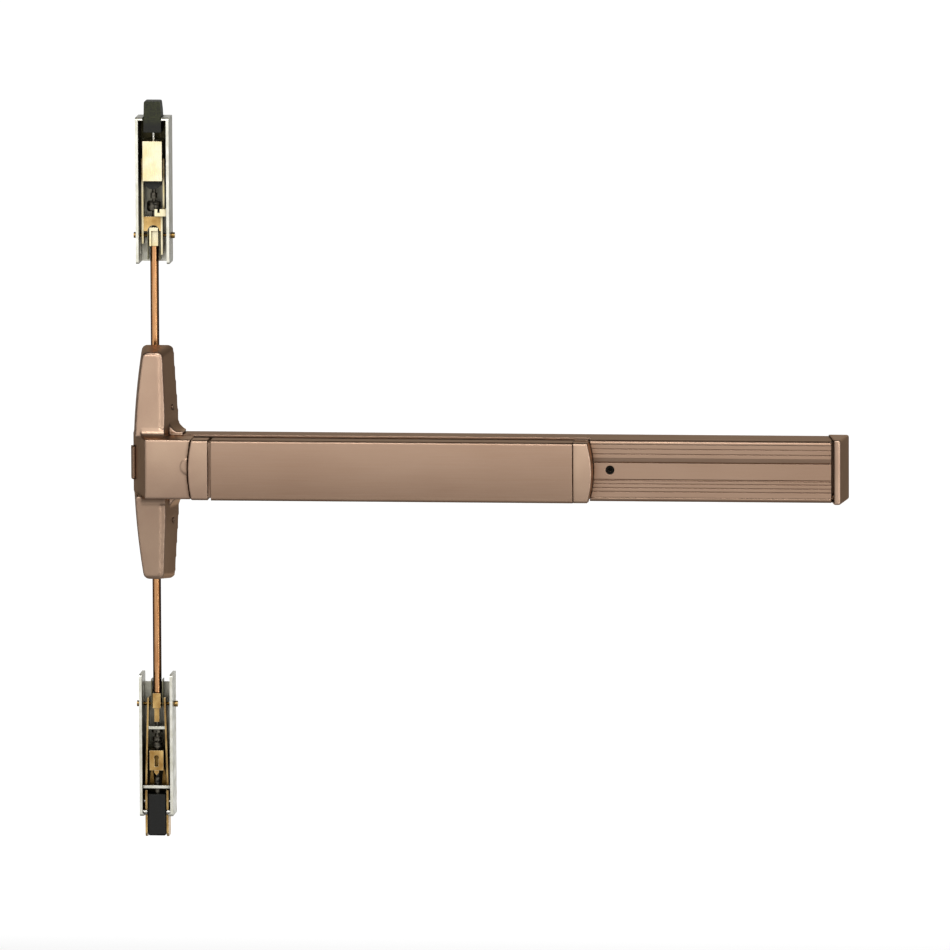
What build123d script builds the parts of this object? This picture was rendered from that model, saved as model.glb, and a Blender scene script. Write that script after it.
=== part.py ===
"""Vertical rod exit device: push bar, centre case, two rods, and a latch at the far end of each rod.

Millimetres. X runs along the push bar, -Y faces the room, +Z is up. The origin is on the door's face,
level with the middle of the push bar and in line with the rods, which run inside the door at rod_y.
Pressing the bar by bar_travel turns the two bell cranks, which draw the link bar to the right. The link
turns the two lifters in the centre case, and they pull both rods in by rod_travel.
"""

import os
from math import asin, atan2, cos, degrees, radians, sin, sqrt, tan

from build123d import *

# Clearances
slip = 0.3  # between covers and what they slip over
running = 0.1  # radial, a moving eye on its pin
slot_play = 0.3  # radial, a pin in a slot that it slides along
seat = 0.05  # radial, a fixed pin in its plate

# Rail, an aluminium extrusion open to the front
rail_half = 29.3
rail_depth = 45.0
rail_wall = 2.4
rail_floor = 2.6
rail_round = 3.0
rail_left = 30.0
rail_right = 650.0
end_screw_in = 16.0
end_screw_half = 14.0
lip_drop = 1.6
lip_depth = 2.4
well_depth = 26.5  # how deep the rail is beside the push bar

# Push bar
bar_travel = 19.0
bar_half = rail_half - 0.5
bar_front = 68.0
bar_crown = 1.5  # how far the front falls back at its long edges
bar_wall = 2.2
bar_rim = 46.0  # how far from the door the rim of the bar stands
bar_left = 62.4
bar_right = 406.3
bar_round = 2.5
skirt_half = bar_half - 4.5
skirt_wall = 1.8
skirt_back = 30.0
end_left = 40.5
end_right = bar_right + 18.2
end_neck = 3.3
end_bow_left = 3.0
end_bow_right = 4.3
end_set_back = 1.5
end_wall = 2.4
end_bead = 2.5
bead_out = 1.0
end_joint = 0.5
end_round = 1.2
tongue_length = 9.0
tongue_play = 0.2
link_way = (-9.0, 11.0)
link_way_front = 61.5
fork_back = 26.0
fork_foot_half = 18.0

# Centre case, a casting
case_end = 112.0
case_bow_left = -18.9
case_end_left = -9.6
case_end_right = 20.2
case_waist_right = 24.5
case_waist_half = 48.0
case_corner = 6.0
left_draft = 8.0
right_draft = 12.5
end_slope = 3.6
case_wall = 2.6
wing_depth = 42.0
wing_end_depth = 34.6
wing_round = 1.2
panel_step = 1.0  # how far the front panel of each wing stands out
panel_right = 10.9
panel_end_right = 9.2
panel_end = case_end - 5.8
panel_round = 3.0
head_half = rail_half - 0.7
head_depth = 62.0
head_left = -0.7
head_right = 39.9
head_round = 1.5
collar_right = 32.0
collar_half = rail_half + 2.7
scoop_radius = 7.2
flare_left = 20.0
flare_top = 42.0
plug_half = 16.0
plug_depth = 10.0
plug_proud = 2.6
plug_margin = 3.0
screw_y = -15.0

# Chassis plate of the centre case
chassis_thickness = 3.0
chassis_right = 29.5
chassis_end = case_end - 9.0
chassis_tongue = 60.0
lug_z = 54.0
lug_size = 12.0
door_screw_x = (-4.5, 13.5)
door_screw_z = 86.0
door_screw_radius = 2.75

# Linkage
crank_x = (110.0, bar_right - 46.3)
crank_y = 20.0
crank_long = 28.0
crank_short = 14.0
crank_thickness = 3.0
pivot_radius = 3.0
pad_pin_radius = 2.5
link_pin_radius = 2.0
link_front = 38.5
link_back = 28.5
link_thickness = 2.5
link_gap = 0.25
link_end = end_right - 1.2
neck_left = end_right - 28.5
neck_width = 4.0
neck_front = 26.3
neck_back = 18.0
tab_front = 35.0
tab_low = -4.0
rivet_x = 47.0
spring_y = -12.0
spring_stop = 300.0
spring_wire = 1.4
spring_radius = 4.6
spring_length = 46.0
spring_turns = 7
tab_thickness = 2.5
stand_half = 11.0
stand_ear = 2.0
fork_half = 6.5
fork_ear = 2.0

# Lifters in the centre case
lifter_pivot = (24.0, 20.0)
lifter_drive = 14.0
lifter_tip = 24.0
lifter_front = 14.0
lifter_thickness = 3.0
slide_front = 17.6
slide_thickness = 3.0
finger_front = 10.6
finger_thickness = 2.6

# Rods
rod_y = 22.0
rod_flats = 7.94
rod_thread_radius = 3.0
nut_height = 4.0

# Latches. Heights are measured from the cross pin that ties each latch to its rod
top_pin_z = 214.2
bottom_pin_z = -235.9
latch_half = 16.0
latch_gauge = 2.6
latch_front = 6.0
latch_back = 38.0
stud_bore = 0.1  # radial, round each adjusting stud
cross_pin_radius = 1.7
cross_head_radius = 2.9
cross_end = 19.6
latch_hole_radius = 2.2
bolt_y = (10.0, 31.0)
top_channel_z = (-26.2, 113.8)
top_holes_z = (-14.2, 99.8)
top_bolt_half = 8.6
top_bolt_z = (99.3, 129.2)
top_stud_y = rod_y - 2.0
top_stem_radius = 1.65
top_stem_grip = 13.8
top_bolt_grip = 8.8
strap_thickness = 1.7
strap_x = 9.3
strap_inner_x = 7.3
strap_y = (13.0, 27.0)
strap_low = -7.2
strap_bend_z = (20.1, 21.8)
strap_tail = -17.8
strap_overlap = 21.0
top_block_z = (53.1, 91.0)
top_block_y = (8.0, 30.0)
top_connector_z = (-9.7, 8.1)
top_plate_z = (4.8, 18.6)
top_arch_radius = 5.6
catch_z = (19.4, 22.8, 26.3)
catch_x = (1.9, 4.6, 6.8, 13.0)
top_adjuster_radius = 1.9
top_adjuster_z = (8.3, 51.8)
knob_radius = 6.6
knob_z = (23.3, 33.0)
lock_nut_z = (35.8, 40.8)
buffer_radius = 8.5
bottom_channel_z = (-106.7, 19.4)
bottom_ears = 29.9
bottom_holes_z = (-92.1, 13.9)
bottom_bolt_half = 8.8
bottom_bolt_z = (-126.0, -86.1)
bottom_stud_y = rod_y - 4.0
bottom_stud_radius = 2.1
bottom_stud_z = (-90.6, -17.0)
bolt_pin_radius = 2.5
bolt_pin_half = 13.0
bolt_pin_z = -94.1
side_plate_top = -82.1
lower_bar_z = (-80.0, -77.3)
lower_bar_half = 13.0
yoke_top = 6.9
yoke_top_x = 7.1
yoke_bottom_x = 9.5
yoke_y = (12.0, 22.5)
bottom_connector_z = (-3.6, 10.9)
bottom_connector_neck = -16.8
upper_plate_z = (-23.4, -20.7)
collars = [(-27.1, 3.6, 5.2), (-35.1, 4.0, 4.4), (-41.1, 4.5, 5.0), (-76.1, 5.5, 3.2), (-84.6, 3.5, 3.2)]
bottom_block_z = (-62.8, -43.7)
bottom_block_y = (10.0, 27.0)
window_z = (-59.3, -48.5)
window_half = 1.8
keyhole_z = -50.6
keyhole_radius = 2.3

# Dogging
dog_x = end_right + 15.7
dog_z = 0.8
dog_radius = 4.0
dog_hole_radius = 4.25
hook_y = (-34.0, -31.0)
hook_hub = 7.0
hook_stem = (5.2, 8.4)
hook_tooth = (-13.5, -10.4)
hook_tip = -4.0
bridge_half = 7.0
bridge_front = 27.0

# End cap
cap_back_left = rail_right - 6.0
cap_front_left = rail_right + 3.0
cap_back_right = rail_right + 14.0
cap_front_right = rail_right + 9.2
cap_grow = 1.6
cap_wall = 2.4

# Worked out from the sizes above
crank_swing = 2 * degrees(asin(bar_travel / 2 / crank_long))
link_travel = 2 * crank_short * sin(radians(crank_swing / 2))
lifter_swing = 2 * degrees(asin(link_travel / 2 / lifter_drive))
rod_travel = 2 * lifter_tip * sin(radians(lifter_swing / 2))
link_low = crank_thickness / 2 + link_gap
link_high = link_low + link_thickness
rivet_place = (rivet_x, -(link_front + link_back) / 2)
case_bow = case_end_left - case_bow_left
case_radius = (case_end**2 + case_bow**2) / (2 * case_bow)
case_taper = (case_waist_right - case_end_right) / (case_end - case_waist_half)
bar_radius = (bar_half**2 + bar_crown**2) / (2 * bar_crown)
end_screw_places = [(rail_right - end_screw_in, side * end_screw_half) for side in (-1, 1)]

pieces = {}


def area(u, v):
    """Rectangle between two limits on each axis of a sketch."""
    return Pos((u[0] + u[1]) / 2, (v[0] + v[1]) / 2) * Rectangle(u[1] - u[0], v[1] - v[0])


def disc(radius, centre):
    return Pos(*centre) * Circle(radius)


def polygon(points):
    return make_face(Polyline(*points, close=True))


def arm(start, end, start_radius, end_radius):
    """Tapered link plate between two round ends."""
    return make_hull(disc(start_radius, start).edges() + disc(end_radius, end).edges())


def along_x(sketch, x):
    """Extrudes a sketch drawn in (Y, Z)."""
    return extrude(Plane.YZ.offset(x[0]) * sketch, amount=x[1] - x[0])


def along_y(sketch, y):
    """Extrudes a sketch drawn in (X, Z)."""
    return extrude(Plane.XZ.offset(-y[1]) * sketch, amount=y[1] - y[0])


def along_z(sketch, z):
    """Extrudes a sketch drawn in (X, Y)."""
    return extrude(Plane.XY.offset(z[0]) * sketch, amount=z[1] - z[0])


def block(x, y, z):
    return along_x(area(y, z), x)


def upright_slot(centre, radius, low, high):
    """Slot in an (X, Z) sketch that a pin at centre runs along from low to high."""
    return arm((centre[0], centre[1] + low), (centre[0], centre[1] + high), radius, radius)


def level_slot(centre, radius, low, high):
    return arm((centre[0] + low, centre[1]), (centre[0] + high, centre[1]), radius, radius)


def polar(centre, radius, angle):
    return (centre[0] + radius * cos(radians(angle)), centre[1] + radius * sin(radians(angle)))


def bowed_edge(tip, bow, half, side):
    """X of a bowed end at height half: the bow is what it falls back at bar_half."""
    radius = (bar_half**2 + bow**2) / (2 * bow)
    return tip - side * (radius - sqrt(radius**2 - half**2))


def bar_outline(gap, half):
    """Outline of the push bar with both end pieces, grown at its bowed ends."""
    left, right = end_left - gap, end_right + gap
    left_corner = bowed_edge(left, end_bow_left, half, -1)
    right_corner = bowed_edge(right, end_bow_right, half, 1)
    return make_face(
        [
            ThreePointArc((left_corner, -half), (left, 0), (left_corner, half)),
            Line((left_corner, half), (right_corner, half)),
            ThreePointArc((right_corner, half), (right, 0), (right_corner, -half)),
            Line((right_corner, -half), (left_corner, -half)),
        ]
    )


well = along_y(bar_outline(slip * 2, rail_half + 20), (-bar_front - 20, -well_depth))


def rail_section():
    outside = area((-rail_depth, 0), (-rail_half, rail_half))
    outside = fillet(outside.vertices().group_by(Axis.X)[0], rail_round)
    inner = rail_half - rail_wall
    hollow = area((-rail_depth + lip_depth, -rail_floor), (-inner, inner))
    mouth = area((-rail_depth, -rail_floor), (-inner + lip_drop, inner - lip_drop))
    ledge_y = -rail_depth + 2 * lip_depth + slip
    ledges = area((ledge_y, ledge_y + 1.5), (-inner, inner))
    ledges -= area((ledge_y, ledge_y + 1.5), (-inner + 1.5, inner - 1.5))
    return outside - hollow - mouth + ledges


def rail():
    body = along_x(rail_section(), (rail_left, rail_right)) - well
    across = (-rail_half - 1, rail_half + 1)
    body -= block((rail_left - 1, end_left + 10), (-rail_depth - 1, -well_depth), across)
    for x in end_screw_places:
        body -= along_y(disc(door_screw_radius + slip, x), (-rail_floor, 0))
    return body


def rail_cover():
    """Grooved insert that closes the rail to the right of the push bar."""
    edge = rail_half - rail_wall - lip_drop - 0.2
    tongue = rail_half - rail_wall - 0.2
    back = -rail_depth + lip_depth
    section = area((-rail_depth, back + 0.2), (-edge, edge))
    section += area((back + 0.2, back + lip_depth), (-tongue, tongue))
    section -= area((back + 0.2, back + lip_depth), (-tongue + 3, tongue - 3))
    grooves = [(20.9, 0.45), (16.1, 0.45), (-8.6, 0.9), (-12.2, 0.45), (-16.0, 0.45), (-19.6, 0.5)]
    for z, radius in grooves:
        section -= disc(radius, (-rail_depth, z))
    front = -rail_depth - 1
    step = polygon([(front, 7.6), (front + 2.3, 7.6), (front + 1, 12.6), (front, 12.6)])
    cover = along_x(section - step, (end_right - end_bow_right, rail_right)) - well
    return cover - along_y(disc(dog_hole_radius, (dog_x, dog_z)), (-rail_depth - 1, -rail_depth + 5))


def fall(half, radius):
    """How far an arc of this radius has fallen back at a distance from its middle."""
    return radius - sqrt(radius**2 - half**2)


def crowned_section(half, front, back, radius):
    """Section in (Y, Z) whose front is a shallow arc."""
    edge = -front + fall(half, radius)
    sides = Polyline((edge, half), (-back, half), (-back, -half), (edge, -half))
    return make_face([ThreePointArc((edge, -half), (-front, 0), (edge, half)), sides])


def rounded_bar_section(half, front, back):
    section = crowned_section(half, front, back, bar_radius)
    return fillet(section.vertices().group_by(Axis.X)[0], bar_round)


def push_bar():
    inner = bar_half - bar_wall
    skirt_inner = skirt_half - skirt_wall
    section = rounded_bar_section(bar_half, bar_front, bar_rim)
    section += area((-bar_rim, -skirt_back), (-skirt_half, skirt_half))
    section -= crowned_section(inner, bar_front - bar_wall, bar_rim + bar_wall, bar_radius - bar_wall)
    section -= area((-bar_rim - bar_wall, -skirt_back), (-skirt_inner, skirt_inner))
    return along_x(section, (bar_left, bar_right))


def bar_end(side):
    """Cast end piece: a bowed cap outside the bar, and a hollow tongue that plugs into it."""
    front = bar_front - end_set_back
    outline = bar_outline(0, bar_half + bead_out)
    if side < 0:
        cap_x = (end_left - 1, bar_left - end_neck)
        tongue_x = (cap_x[1] - end_wall / 2, bar_left + tongue_length)
        tongue_inner_x = (cap_x[1], tongue_x[1])
    else:
        cap_x = (bar_right + end_joint, end_right + 1)
        tongue_x = (bar_right - tongue_length, cap_x[0] + end_wall / 2)
        tongue_inner_x = (tongue_x[0], cap_x[0])
    cap = along_x(rounded_bar_section(bar_half, front, bar_rim), cap_x)
    cap &= along_y(outline, (-front, -bar_rim))
    outer = cap.faces().sort_by(Axis.X)[0 if side < 0 else -1]
    cap = fillet(outer.edges().filter_by(lambda e: e.center().Y < -front + 0.5), end_round)
    if side > 0:
        bead = along_y(outline, (-bar_rim - end_bead, -bar_rim))
        cap += bead & block(cap_x, (-front, 0), (-bar_half - 2, bar_half + 2))
    inner = bar_half - end_wall
    hollow_y = (-front + end_wall, -bar_rim)
    hollow_x = (cap_x[0], cap_x[1] - end_wall) if side < 0 else (cap_x[0] + end_wall, cap_x[1])
    hollow = along_y(offset(outline, amount=-end_wall), hollow_y)
    hollow &= block(hollow_x, hollow_y, (-inner, inner))
    tongue_half = bar_half - bar_wall - tongue_play
    tongue_y = (-bar_front + bar_wall + bar_crown + tongue_play, -bar_rim - bar_wall - tongue_play)
    tongue = block(tongue_x, tongue_y, (-tongue_half, tongue_half))
    tongue -= block(
        tongue_inner_x,
        (tongue_y[0] + end_wall, tongue_y[1]),
        (-tongue_half + end_wall, tongue_half - end_wall),
    )
    body = cap - hollow + tongue
    if side < 0:
        body -= block((end_left - 1, tongue_x[1]), (-link_way_front, -bar_rim), link_way)
    return body


def bar_brackets():
    """Forks inside the bar that carry the pins of the long crank arms."""
    forks = []
    for x in crank_x:
        pin_x = x + crank_long * cos(radians(crank_swing / 2))
        top = -bar_front + bar_wall + fall(fork_foot_half, bar_radius - bar_wall) + seat
        back = -fork_back
        ears = block((pin_x - 7, pin_x + 8.5), (top, back), (-fork_half, fork_half))
        ears -= block((pin_x - 8, pin_x + 9), (top + 2, back), (-fork_half + fork_ear, fork_half - fork_ear))
        foot = block((pin_x - 15, pin_x + 10), (top, top + 2), (-fork_foot_half, fork_foot_half))
        reach = crank_long * (1 - cos(radians(crank_swing / 2)))
        pin_y = -crank_y - bar_travel / 2
        slot = level_slot((pin_x, pin_y), pad_pin_radius + slot_play, 0, reach)
        forks.append(ears + foot - along_z(slot, (-fork_half - 1, fork_half + 1)))
    return Compound(children=[fork.solid() for fork in forks])


def bell_crank(x):
    """Crank plate with its hub and its two staked pins, as it stands at rest."""
    pivot = (x, -crank_y)
    half = crank_thickness / 2
    pad_pin = polar(pivot, crank_long, -crank_swing / 2)
    link_pin = polar(pivot, crank_short, -90 - crank_swing / 2)
    plate = arm(pivot, pad_pin, 7, 5) + arm(pivot, link_pin, 7, 4)
    hub_half = stand_half - stand_ear - slip
    body = along_z(plate, (-half, half)) + along_z(disc(6, pivot), (-hub_half, hub_half))
    body += along_z(disc(pad_pin_radius, pad_pin), (-fork_half - 1, fork_half + 1))
    body += along_z(disc(link_pin_radius, link_pin), (-half, half + link_gap + link_thickness + 1.2))
    return body - along_z(disc(pivot_radius + running, pivot), (-stand_half, stand_half))


def crank_stands():
    """Bent brackets on the rail's floor, one ear above and one below each crank."""
    stands = []
    floor = -rail_floor
    for x in crank_x:
        body = block((x - 22, x + 12), (floor - 2.5, floor), (-stand_half, stand_half))
        for side in (-1, 1):
            low, high = sorted((side * (stand_half - stand_ear), side * stand_half))
            ear = arm((x, -crank_y), (x - 4, floor - 3), 6.5, 8) & area((x - 14, x + 10), (-40, floor))
            body += along_z(ear, (low, high))
        for z in (-6, 6):
            body -= along_y(disc(2, (x - 18, z)), (floor - 3, floor))
        body -= along_z(disc(pivot_radius + seat, (x, -crank_y)), (-stand_half - 1, stand_half + 1))
        stands.append(body.solid())
    return Compound(children=stands)


def crank_pivots():
    pins = []
    for x in crank_x:
        pin = along_z(disc(pivot_radius, (x, -crank_y)), (-stand_half - 1.5, stand_half))
        pin += along_z(disc(5, (x, -crank_y)), (stand_half, stand_half + 1.5))
        pins.append(pin.solid())
    return Compound(children=pins)


def link_bar():
    """Flat bar that ties both cranks to the slide in the centre case, with a bent tab for dogging."""
    bar = area((38, neck_left), (-link_front, -link_back))
    bar += area((neck_left - neck_width, neck_left), (-link_front, -neck_back))
    bar += area((neck_left - neck_width, link_end), (-neck_front, -neck_back))
    for x in crank_x:
        pin = polar((x, -crank_y), crank_short, -90 - crank_swing / 2)
        lift = crank_short * (1 - cos(radians(crank_swing / 2)))
        bar -= arm(pin, (pin[0], pin[1] - lift), link_pin_radius + slot_play, link_pin_radius + slot_play)
        pad_pin = polar((x, -crank_y), crank_long, -crank_swing / 2)
        bulge = crank_long * (1 - cos(radians(crank_swing / 2)))
        room = pad_pin_radius + 1
        notch_x = (pad_pin[0] - link_travel - room, pad_pin[0] + bulge + room)
        bar -= area(notch_x, (pad_pin[1] - room, -link_back))
    bar -= disc(link_pin_radius + seat, rivet_place)
    body = along_z(bar, (link_low, link_high))
    body += block((link_end - tab_thickness, link_end), (-tab_front, -neck_back), (tab_low, link_high))
    arm_x = spring_stop - spring_length - 3
    body += block((arm_x, arm_x + 3), (-link_back - 1, spring_y + 4), (link_low, link_high + 8))
    return body - along_x(disc(2 + seat, (spring_y, link_high + 3)), (arm_x - 1, arm_x + 4))


def spring_rod():
    """Guide rod of the return spring, headed behind the link's arm."""
    x = spring_stop - spring_length
    centre = (spring_y, link_high + 3)
    shank = along_x(disc(2, centre), (x - 4, spring_stop + 8))
    return shank + along_x(disc(3.4, centre), (x - 5.5, x - 3.05))


def coil(radius, wire, length, turns):
    """Compression spring along Z, from 0 to length."""
    path = Helix(pitch=(length - wire) / turns, height=length - wire, radius=radius)
    start = Plane(origin=path @ 0, z_dir=path % 0)
    return Pos(0, 0, wire / 2) * sweep(start * RegularPolygon(wire / 2, 6), path=path, is_frenet=True)


def link_spring():
    spring = coil(spring_radius, spring_wire, spring_length - 0.2, spring_turns)
    return Pos(spring_stop - spring_length + 0.1, spring_y, link_high + 3) * Rot(0, 90, 0) * spring


def spring_bracket():
    floor = -rail_floor
    body = block((spring_stop, spring_stop + 22), (floor - 2.5, floor), (-6, 18))
    body += block((spring_stop, spring_stop + 2.5), (spring_y - 8, floor), (-6, 18))
    body -= along_x(disc(2 + 0.3, (spring_y, link_high + 3)), (spring_stop - 1, spring_stop + 4))
    for z in (0, 12):
        body -= along_y(disc(2, (spring_stop + 14, z)), (floor - 3, floor))
    return body


def lifter_points(side):
    """Pivot, drive pin and tip of a lifter at rest. side is 1 for the upper one."""
    x, z = lifter_pivot
    drive = polar((x, z), lifter_drive, -90 - lifter_swing / 2)
    tip = polar((x, z), lifter_tip, 180 - lifter_swing / 2)
    return [(p[0], side * p[1]) for p in ((x, z), drive, tip)]


def lifter(side):
    pivot, drive, tip = lifter_points(side)
    back = -lifter_front + lifter_thickness
    plate = arm(pivot, drive, 7, 4) + arm(pivot, tip, 7, 4.5) - disc(pivot_radius + running, pivot)
    body = along_y(plate, (-lifter_front, back))
    body += along_y(disc(link_pin_radius, drive), (-slide_front - 0.8, back))
    return body + along_y(disc(pad_pin_radius, tip), (-lifter_front, -finger_front + finger_thickness + 0.6))


def lifter_pivots():
    pins = []
    for side in (1, -1):
        pivot = lifter_points(side)[0]
        pin = along_y(disc(pivot_radius, pivot), (-lifter_front - 0.2, 0))
        pin += along_y(disc(5, pivot), (-lifter_front + lifter_thickness + 0.15, -chassis_thickness))
        pin += along_y(disc(5, pivot), (-lifter_front - 1.7, -lifter_front - 0.15))
        pins.append(pin.solid())
    return Compound(children=pins)


def actuator_slide():
    """Plate that the link bar draws to the right, slotted for both lifters' drive pins."""
    y = (-slide_front, -slide_front + slide_thickness)
    plate = area((12, 54), (-11, 11)) - area((30, 42), (-5, 5))
    rise = lifter_drive * (1 - cos(radians(lifter_swing / 2)))
    for side in (1, -1):
        drive = lifter_points(side)[1]
        low, high = sorted((0, -side * rise))
        plate -= upright_slot(drive, link_pin_radius + slot_play, low, high)
    body = along_y(fillet(plate.vertices().group_by(Axis.X)[0], 3), y)
    leg = (link_high + 0.1, link_high + 2.6)
    body += block((38, 54), (-link_front, y[1]), leg)
    return body - along_z(disc(link_pin_radius + seat, rivet_place), (0, 12))


def actuator_rivet():
    top = link_high + 2.6
    body = along_z(disc(link_pin_radius, rivet_place), (link_low - 0.2, top + 0.2))
    for z in ((link_low - 1.4, link_low - 0.05), (top + 0.05, top + 1.4)):
        body += along_z(disc(3.6, rivet_place), z)
    return body


def finger_shelf():
    """Heights of the upper finger's shelf, which its rod's nuts grip."""
    top = lifter_points(1)[2][1] + 10
    return (top - finger_thickness, top)


def finger(side):
    """Bracket that a lifter's tip moves, reaching back through the chassis to its rod."""
    tip = lifter_points(side)[2]
    z_tip = abs(tip[1])
    front = (-finger_front, -finger_front + finger_thickness)
    shift = lifter_tip * (1 - cos(radians(lifter_swing / 2)))
    plate = area((-7, 9), (z_tip - 6, z_tip + 10))
    plate -= level_slot((tip[0], z_tip), pad_pin_radius + slot_play, -shift, 0)
    body = along_y(fillet(plate.vertices(), 2), front)
    shelf = finger_shelf()
    shelf_plan = area((-6, 6), (-finger_front, rod_y)) + disc(6, (0, rod_y))
    shelf_plan -= disc(rod_thread_radius + seat, (0, rod_y))
    body += along_z(shelf_plan, shelf)
    return body if side > 0 else mirror(body, about=Plane.XY)


def rod(side, end):
    """Hexagonal rod, turned down at both ends. end is where it meets its connector."""
    across = rod_flats / cos(radians(30)) / 2
    shelf = finger_shelf()
    hexagon = Pos(0, rod_y) * RegularPolygon(across, 6)
    body = along_z(hexagon, (shelf[1] + nut_height + 0.1, abs(end)))
    body += along_z(disc(rod_thread_radius, (0, rod_y)), (shelf[0] - nut_height - 2, abs(end) + 6))
    return body if side > 0 else mirror(body, about=Plane.XY)


def rod_nuts(side):
    """Two thin nuts that lock the rod's threaded end to its finger."""
    shelf = finger_shelf()
    nuts = []
    for z in ((shelf[0] - nut_height, shelf[0]), (shelf[1], shelf[1] + nut_height)):
        sketch = Pos(0, rod_y) * RegularPolygon(5.8, 6) - disc(rod_thread_radius + seat, (0, rod_y))
        nut = along_z(sketch, z)
        nuts.append(nut if side > 0 else mirror(nut, about=Plane.XY))
    return Compound(children=[nut.solid() for nut in nuts])


def case_outline(inset):
    """Outline of the centre case where it meets the door."""
    top_left, top_right = (case_end_left, case_end), (case_end_right, case_end)
    outline = make_face(
        [
            ThreePointArc((case_end_left, -case_end), (case_bow_left, 0), top_left),
            Line(top_left, top_right),
            Line(top_right, (case_waist_right, case_waist_half)),
            Line((case_waist_right, case_waist_half), (case_waist_right, -case_waist_half)),
            Line((case_waist_right, -case_waist_half), (case_end_right, -case_end)),
            Line((case_end_right, -case_end), (case_end_left, -case_end)),
        ]
    )
    corners = outline.vertices().group_by(Axis.Y)[0] + outline.vertices().group_by(Axis.Y)[-1]
    outline = fillet(corners, case_corner)
    return offset(outline, amount=-inset) if inset else outline


def lean(sketch, draft):
    """Extrudes an (X, Z) sketch towards the room, leaning right by the draft."""
    return extrude(Plane.XZ * sketch, amount=wing_depth + 10, dir=(tan(radians(draft)), -1, 0))


def wings(inset, drop=0):
    """Both wings as one body. drop lowers only the front."""
    body = lean(disc(case_radius - inset, (case_bow_left + case_radius, 0)), left_draft)
    far = case_end + 20
    upper = [(case_waist_right, case_waist_half), (case_end_right - 20 * case_taper, far), (-80, far)]
    right = polygon(upper + [(x, -z) for x, z in reversed(upper)])
    body &= lean(offset(right, amount=-inset) if inset else right, -right_draft)
    reach = case_end - inset
    end = -wing_end_depth + inset + drop
    front = -wing_depth + inset + drop
    slope = end_slope / wing_end_depth
    upper = [(1, reach + slope), (end, reach + slope * end), (front, head_half)]
    lower = [(y, -z) for y, z in reversed(upper)]
    return (body & along_x(polygon(upper + lower), (-60, 80))) - beside_head(inset)


def soft_wings(drop):
    body = wings(0, drop)
    at_ends = body.edges().filter_by(lambda e: abs(e.center().Z) > case_end - end_slope)
    corners = at_ends.filter_by(lambda e: abs(e.tangent_at(0.5).Y) > 0.8)
    body = fillet(corners, case_corner)
    edges = body.edges().filter_by(
        lambda e: e.center().Y < -wing_end_depth + drop + 1 and abs(e.center().Z) > head_half + 1
    )
    return fillet(edges, wing_round)


def panels():
    """Front panels of the wings, a step in front of the shoulder on their right and at their ends."""
    upper = [(panel_right, 0), (panel_right, case_waist_half), (panel_end_right, panel_end), (-60, panel_end)]
    outline = polygon(upper + [(x, -z) for x, z in reversed(upper[1:])])
    corners = outline.vertices().filter_by(lambda v: v.X > 0).group_by(Axis.Y)
    outline = fillet(corners[0] + corners[-1], panel_round)
    return soft_wings(0) & along_y(outline, (-wing_depth - 1, -wing_end_depth / 2))


def head_slope():
    return (head_left - case_bow_left) / head_depth


def beside_head(inset):
    """Space left of the head's slanted side, where the wings would stand out past it."""
    back = case_bow_left + inset
    half = head_half + inset
    reach = head_depth + 10
    slope = head_slope()
    sketch = polygon([(-60, 5), (back - slope * 5, 5), (back + slope * reach, -reach), (-60, -reach)])
    return along_z(sketch, (-half, half))


def head_plan(inset, right):
    back = case_bow_left + inset
    front = -head_depth + inset
    return polygon([(back, 0), (back - head_slope() * front, front), (right, front), (right, 0)])


def head(inset):
    half = head_half - inset
    body = along_z(head_plan(inset, 50), (-half, half))
    body &= along_x(crowned_section(half, head_depth - inset, -1, bar_radius - inset), (-60, 60))
    return body - block((collar_right, 60), (-well_depth - slip, 1), (-half, half))


def collar():
    """Rim round the rail's end, flared where it meets the wings."""
    depth = (-well_depth - slip, 0)
    body = block((5, collar_right), depth, (-collar_half, collar_half))
    low = collar_half - 0.5
    waist = case_waist_right
    sweep_in = ThreePointArc((collar_right, low), (waist + 2.4, low + 4.0), (waist, flare_top))
    sides = Polyline((waist, flare_top), (flare_left, flare_top), (flare_left, low), (collar_right, low))
    flare = lean(make_face([sweep_in, sides]), -right_draft)
    flare &= block((0, collar_right), depth, (0, flare_top))
    return body + flare + mirror(flare, about=Plane.XY)


def scoops():
    """Hollow sweeps between the head and the wings."""
    start = -wing_depth + 0.4
    r = scoop_radius
    made = []
    for side in (1, -1):
        z = side * head_half
        corner = [(start + 4, z), (start + 4, z + side * r), (start, z + side * r)]
        arc = ThreePointArc(
            (start, z + side * r),
            (start - r * (1 - cos(radians(45))), z + side * r * (1 - sin(radians(45)))),
            (start - r, z),
        )
        face = make_face([Polyline((start - r, z), *corner), arc])
        sweep_body = along_x(face, (-30, 16))
        made.append(sweep_body & along_z(head_plan(0, 16), (-60, 60)))
    return made


def center_case():
    shell = soft_wings(panel_step) + panels()
    block_head = head(0) - well
    edges = block_head.edges().filter_by(
        lambda e: e.center().Y < -head_depth + bar_crown + 0.3 and e.center().X < head_right - 2
    )
    block_head = fillet(edges, head_round)
    shell += block_head
    shell += collar()
    for scoop in scoops():
        shell += scoop
    boss = along_y(disc(7, (head_right + 0.5, 3)), (-head_depth - 0.6, -head_depth + 1))
    shell += boss - well
    rail_room = rail_half + slip
    shell -= wings(case_wall) + head(case_wall)
    shell -= block((-5, 60), (-well_depth - slip, 1), (-rail_room, rail_room))
    shell -= facet_plane() * Pos(0, 0, -5) * plug_core(12, 0.2)
    for side in (1, -1):
        shell -= case_screw_cut(side)
    return shell


def facet_plane():
    """Plane on the head's left facet, X along the rods and Z pointing out."""
    slope = atan2(head_left - case_bow_left, head_depth)
    middle = (plug_depth / 2 + 2) * cos(slope)
    x = case_bow_left + middle * tan(slope)
    return Plane(origin=(x, -middle, 0), x_dir=(0, 0, 1), z_dir=(-cos(slope), -sin(slope), 0))


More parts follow.
